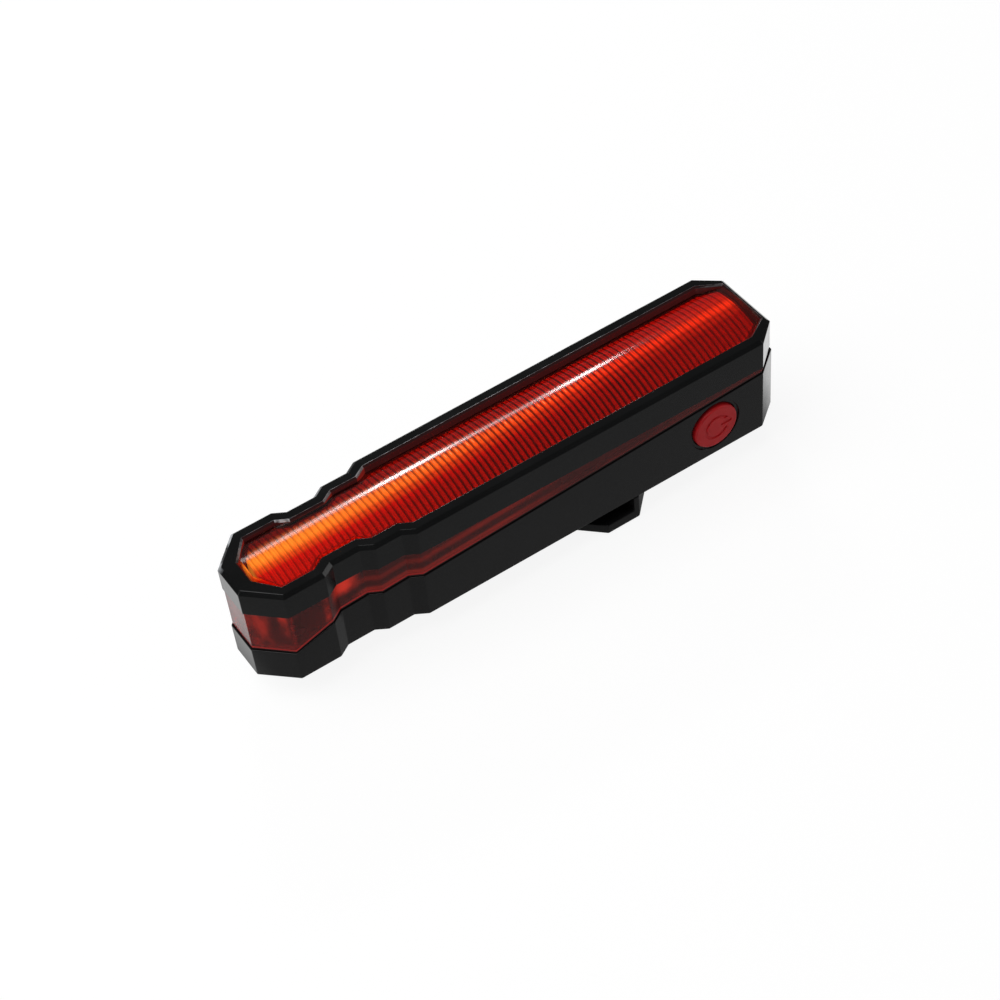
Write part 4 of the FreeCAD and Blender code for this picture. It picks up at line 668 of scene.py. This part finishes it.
# The haze: part of the skirt scatters light instead of passing it.
haze = lens.add("BsdfPrincipled")
lens.set(haze, "roughness", lensLook["hazeGloss"])
lens.set(haze, "specular", lensLook["hazeSheen"])
hazeClouds = lens.noise(lensLook["hazeScale"], 2, (0.5, 1, 1.4))
hazeTint = lens.blend(lens.span(hazeClouds, 0.25, 0.75, 0.0, 0.5), lensLook["haze"], lensLook["skirt"])
lens.links.new(lens.blend(gapShadowShare, hazeTint, lensLook["gapShadow"]), haze.inputs["Base Color"])
hazeShare = lens.times(underRim, outside, lens.span(gapShadowShare, 0.0, 1.0, *lensLook["hazeShare"]))
hazed = lens.mixShaders(hazeShare, lens.shader.outputs[0], haze.outputs[0])

# The ribs lie close under the window, so its inner face neither bends nor mirrors light.
innerFace = lens.add("BsdfTransparent")
innerFace.inputs["Color"].default_value = lensLook["within"] + (1,)
walled = lens.mixShaders(lens.times(inside, clearShare), hazed, innerFace.outputs[0])
lampThrough = lens.add("BsdfTransparent")
lens.links.new(lensTint, lampThrough.inputs["Color"])
lampRay = lens.add("LightPath").outputs["Is Shadow Ray"]
lens.finishSurface(lens.mixShaders(lampRay, walled, lampThrough.outputs[0]))
finishes["lens_red"] = lens


print("finishes on the frame's own solids")
nodeFinishes = {
    "rear_case": "case_plastic", "case_gasket": "gasket_rubber", "lens": "lens_red",
    "bezel": "bezel_plastic", "light_guide": "guide_red", "reflector": "reflector_white",
    "mount_clip": "clip_plastic",
    "case_screws": "screw_steel", "clip_screws": "screw_steel", "board_screws": "screw_steel",
    "main_board": "board_laminate", "red_leds": "lamp_package", "charge_led": "lamp_green",
    "controller_chip": "chip_resin", "charger_chip": "chip_resin", "board_passives": "chip_ceramic",
    "battery": "battery_foil", "battery_pad": "foam_pad", "battery_leads": "lead_insulation",
    "laser_leads": "lead_insulation", "power_button": "button_rubber", "button_seal": "seal_rubber",
    "switch_body": "switch_resin", "switch_plunger": "plunger_resin", "socket_shell": "socket_steel",
    "socket_tongue": "tongue_resin", "socket_cover": "cover_rubber", "laser_holder": "holder_plastic",
    "laser_barrel_left": "barrel_brass", "laser_barrel_right": "barrel_brass",
    "laser_optic_left": "optic_glass", "laser_optic_right": "optic_glass",
    "laser_diode_left": "diode_can", "laser_diode_right": "diode_can",
}


def wear(thing, slot):
    thing.data.materials.clear()
    thing.data.materials.append(finishes[slot].material)


for node, slot in nodeFinishes.items():
    wear(nodes[node], slot)


def pickOnly(thing):
    bpy.ops.object.select_all(action="DESELECT")
    thing.select_set(True)
    bpy.context.view_layer.objects.active = thing


# Points this close become one, and faces this level become one again. Steeper edges stay sharp.
shellCare = {"weld": 0.0005, "level": 0.4, "weldRounded": 0.001, "sharp": 46}


def weldAll(threshold):
    bpy.ops.mesh.select_all(action="SELECT")
    bpy.ops.mesh.remove_doubles(threshold=threshold * mm)


# A copy of a solid with its flat faces whole again, ready for its edges to be rounded.
def copySolid(node, name):
    pickOnly(nodes[node])
    bpy.ops.object.duplicate()
    piece = bpy.context.object
    piece.name = name
    piece.data.name = name
    piece.parent = None
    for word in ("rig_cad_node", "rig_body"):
        del piece[word]
    bpy.ops.mesh.customdata_custom_splitnormals_clear()
    bpy.ops.object.mode_set(mode="EDIT")
    weldAll(shellCare["weld"])
    bpy.ops.mesh.dissolve_limited(angle_limit=math.radians(shellCare["level"]))
    bpy.ops.object.mode_set(mode="OBJECT")
    return piece


def applyAll(piece):
    pickOnly(piece)
    for modifier in list(piece.modifiers):
        bpy.ops.object.modifier_apply(modifier=modifier.name)


def roundEdges(piece, look):
    rounding = piece.modifiers.new("roundedEdges", "BEVEL")
    rounding.width = look["width"] * mm
    rounding.segments = look["segments"]
    rounding.limit_method = "ANGLE"
    rounding.angle_limit = math.radians(look["angle"])
    rounding.use_clamp_overlap = look["clamp"]
    rounding.miter_outer = "MITER_ARC"
    applyAll(piece)
    bpy.ops.object.mode_set(mode="EDIT")
    weldAll(shellCare["weldRounded"])
    bpy.ops.object.mode_set(mode="OBJECT")
    bpy.ops.object.shade_smooth_by_angle(angle=math.radians(shellCare["sharp"]))
    evening = piece.modifiers.new("evenShading", "WEIGHTED_NORMAL")
    evening.keep_sharp = True
    applyAll(piece)


print("rounded shells")
# "clamp" keeps the rounding from running past short edges.
roundedPieces = {
    "bezelShell": {
        "node": "bezel", "body": "housing",
        "width": 0.3, "segments": 4, "angle": 22, "clamp": True,
    },
    "caseShell": {
        "node": "rear_case", "body": "housing",
        "width": 0.12, "segments": 2, "angle": 22, "clamp": False,
    },
    "clipShell": {
        "node": "mount_clip", "body": "housing",
        "width": 0.14, "segments": 2, "angle": 25, "clamp": False,
    },
    "buttonCap": {
        "node": "power_button", "body": "power_button",
        "width": 0.1, "segments": 2, "angle": 28, "clamp": True,
    },
    "socketFlap": {
        "node": "socket_cover", "body": "socket_cover",
        "width": 0.14, "segments": 2, "angle": 28, "clamp": True,
    },
}
for pieceName, look in roundedPieces.items():
    shell = copySolid(look["node"], pieceName)
    roundEdges(shell, look)
    wear(shell, nodeFinishes[look["node"]])
    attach(shell, look["body"])
    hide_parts(look["node"])
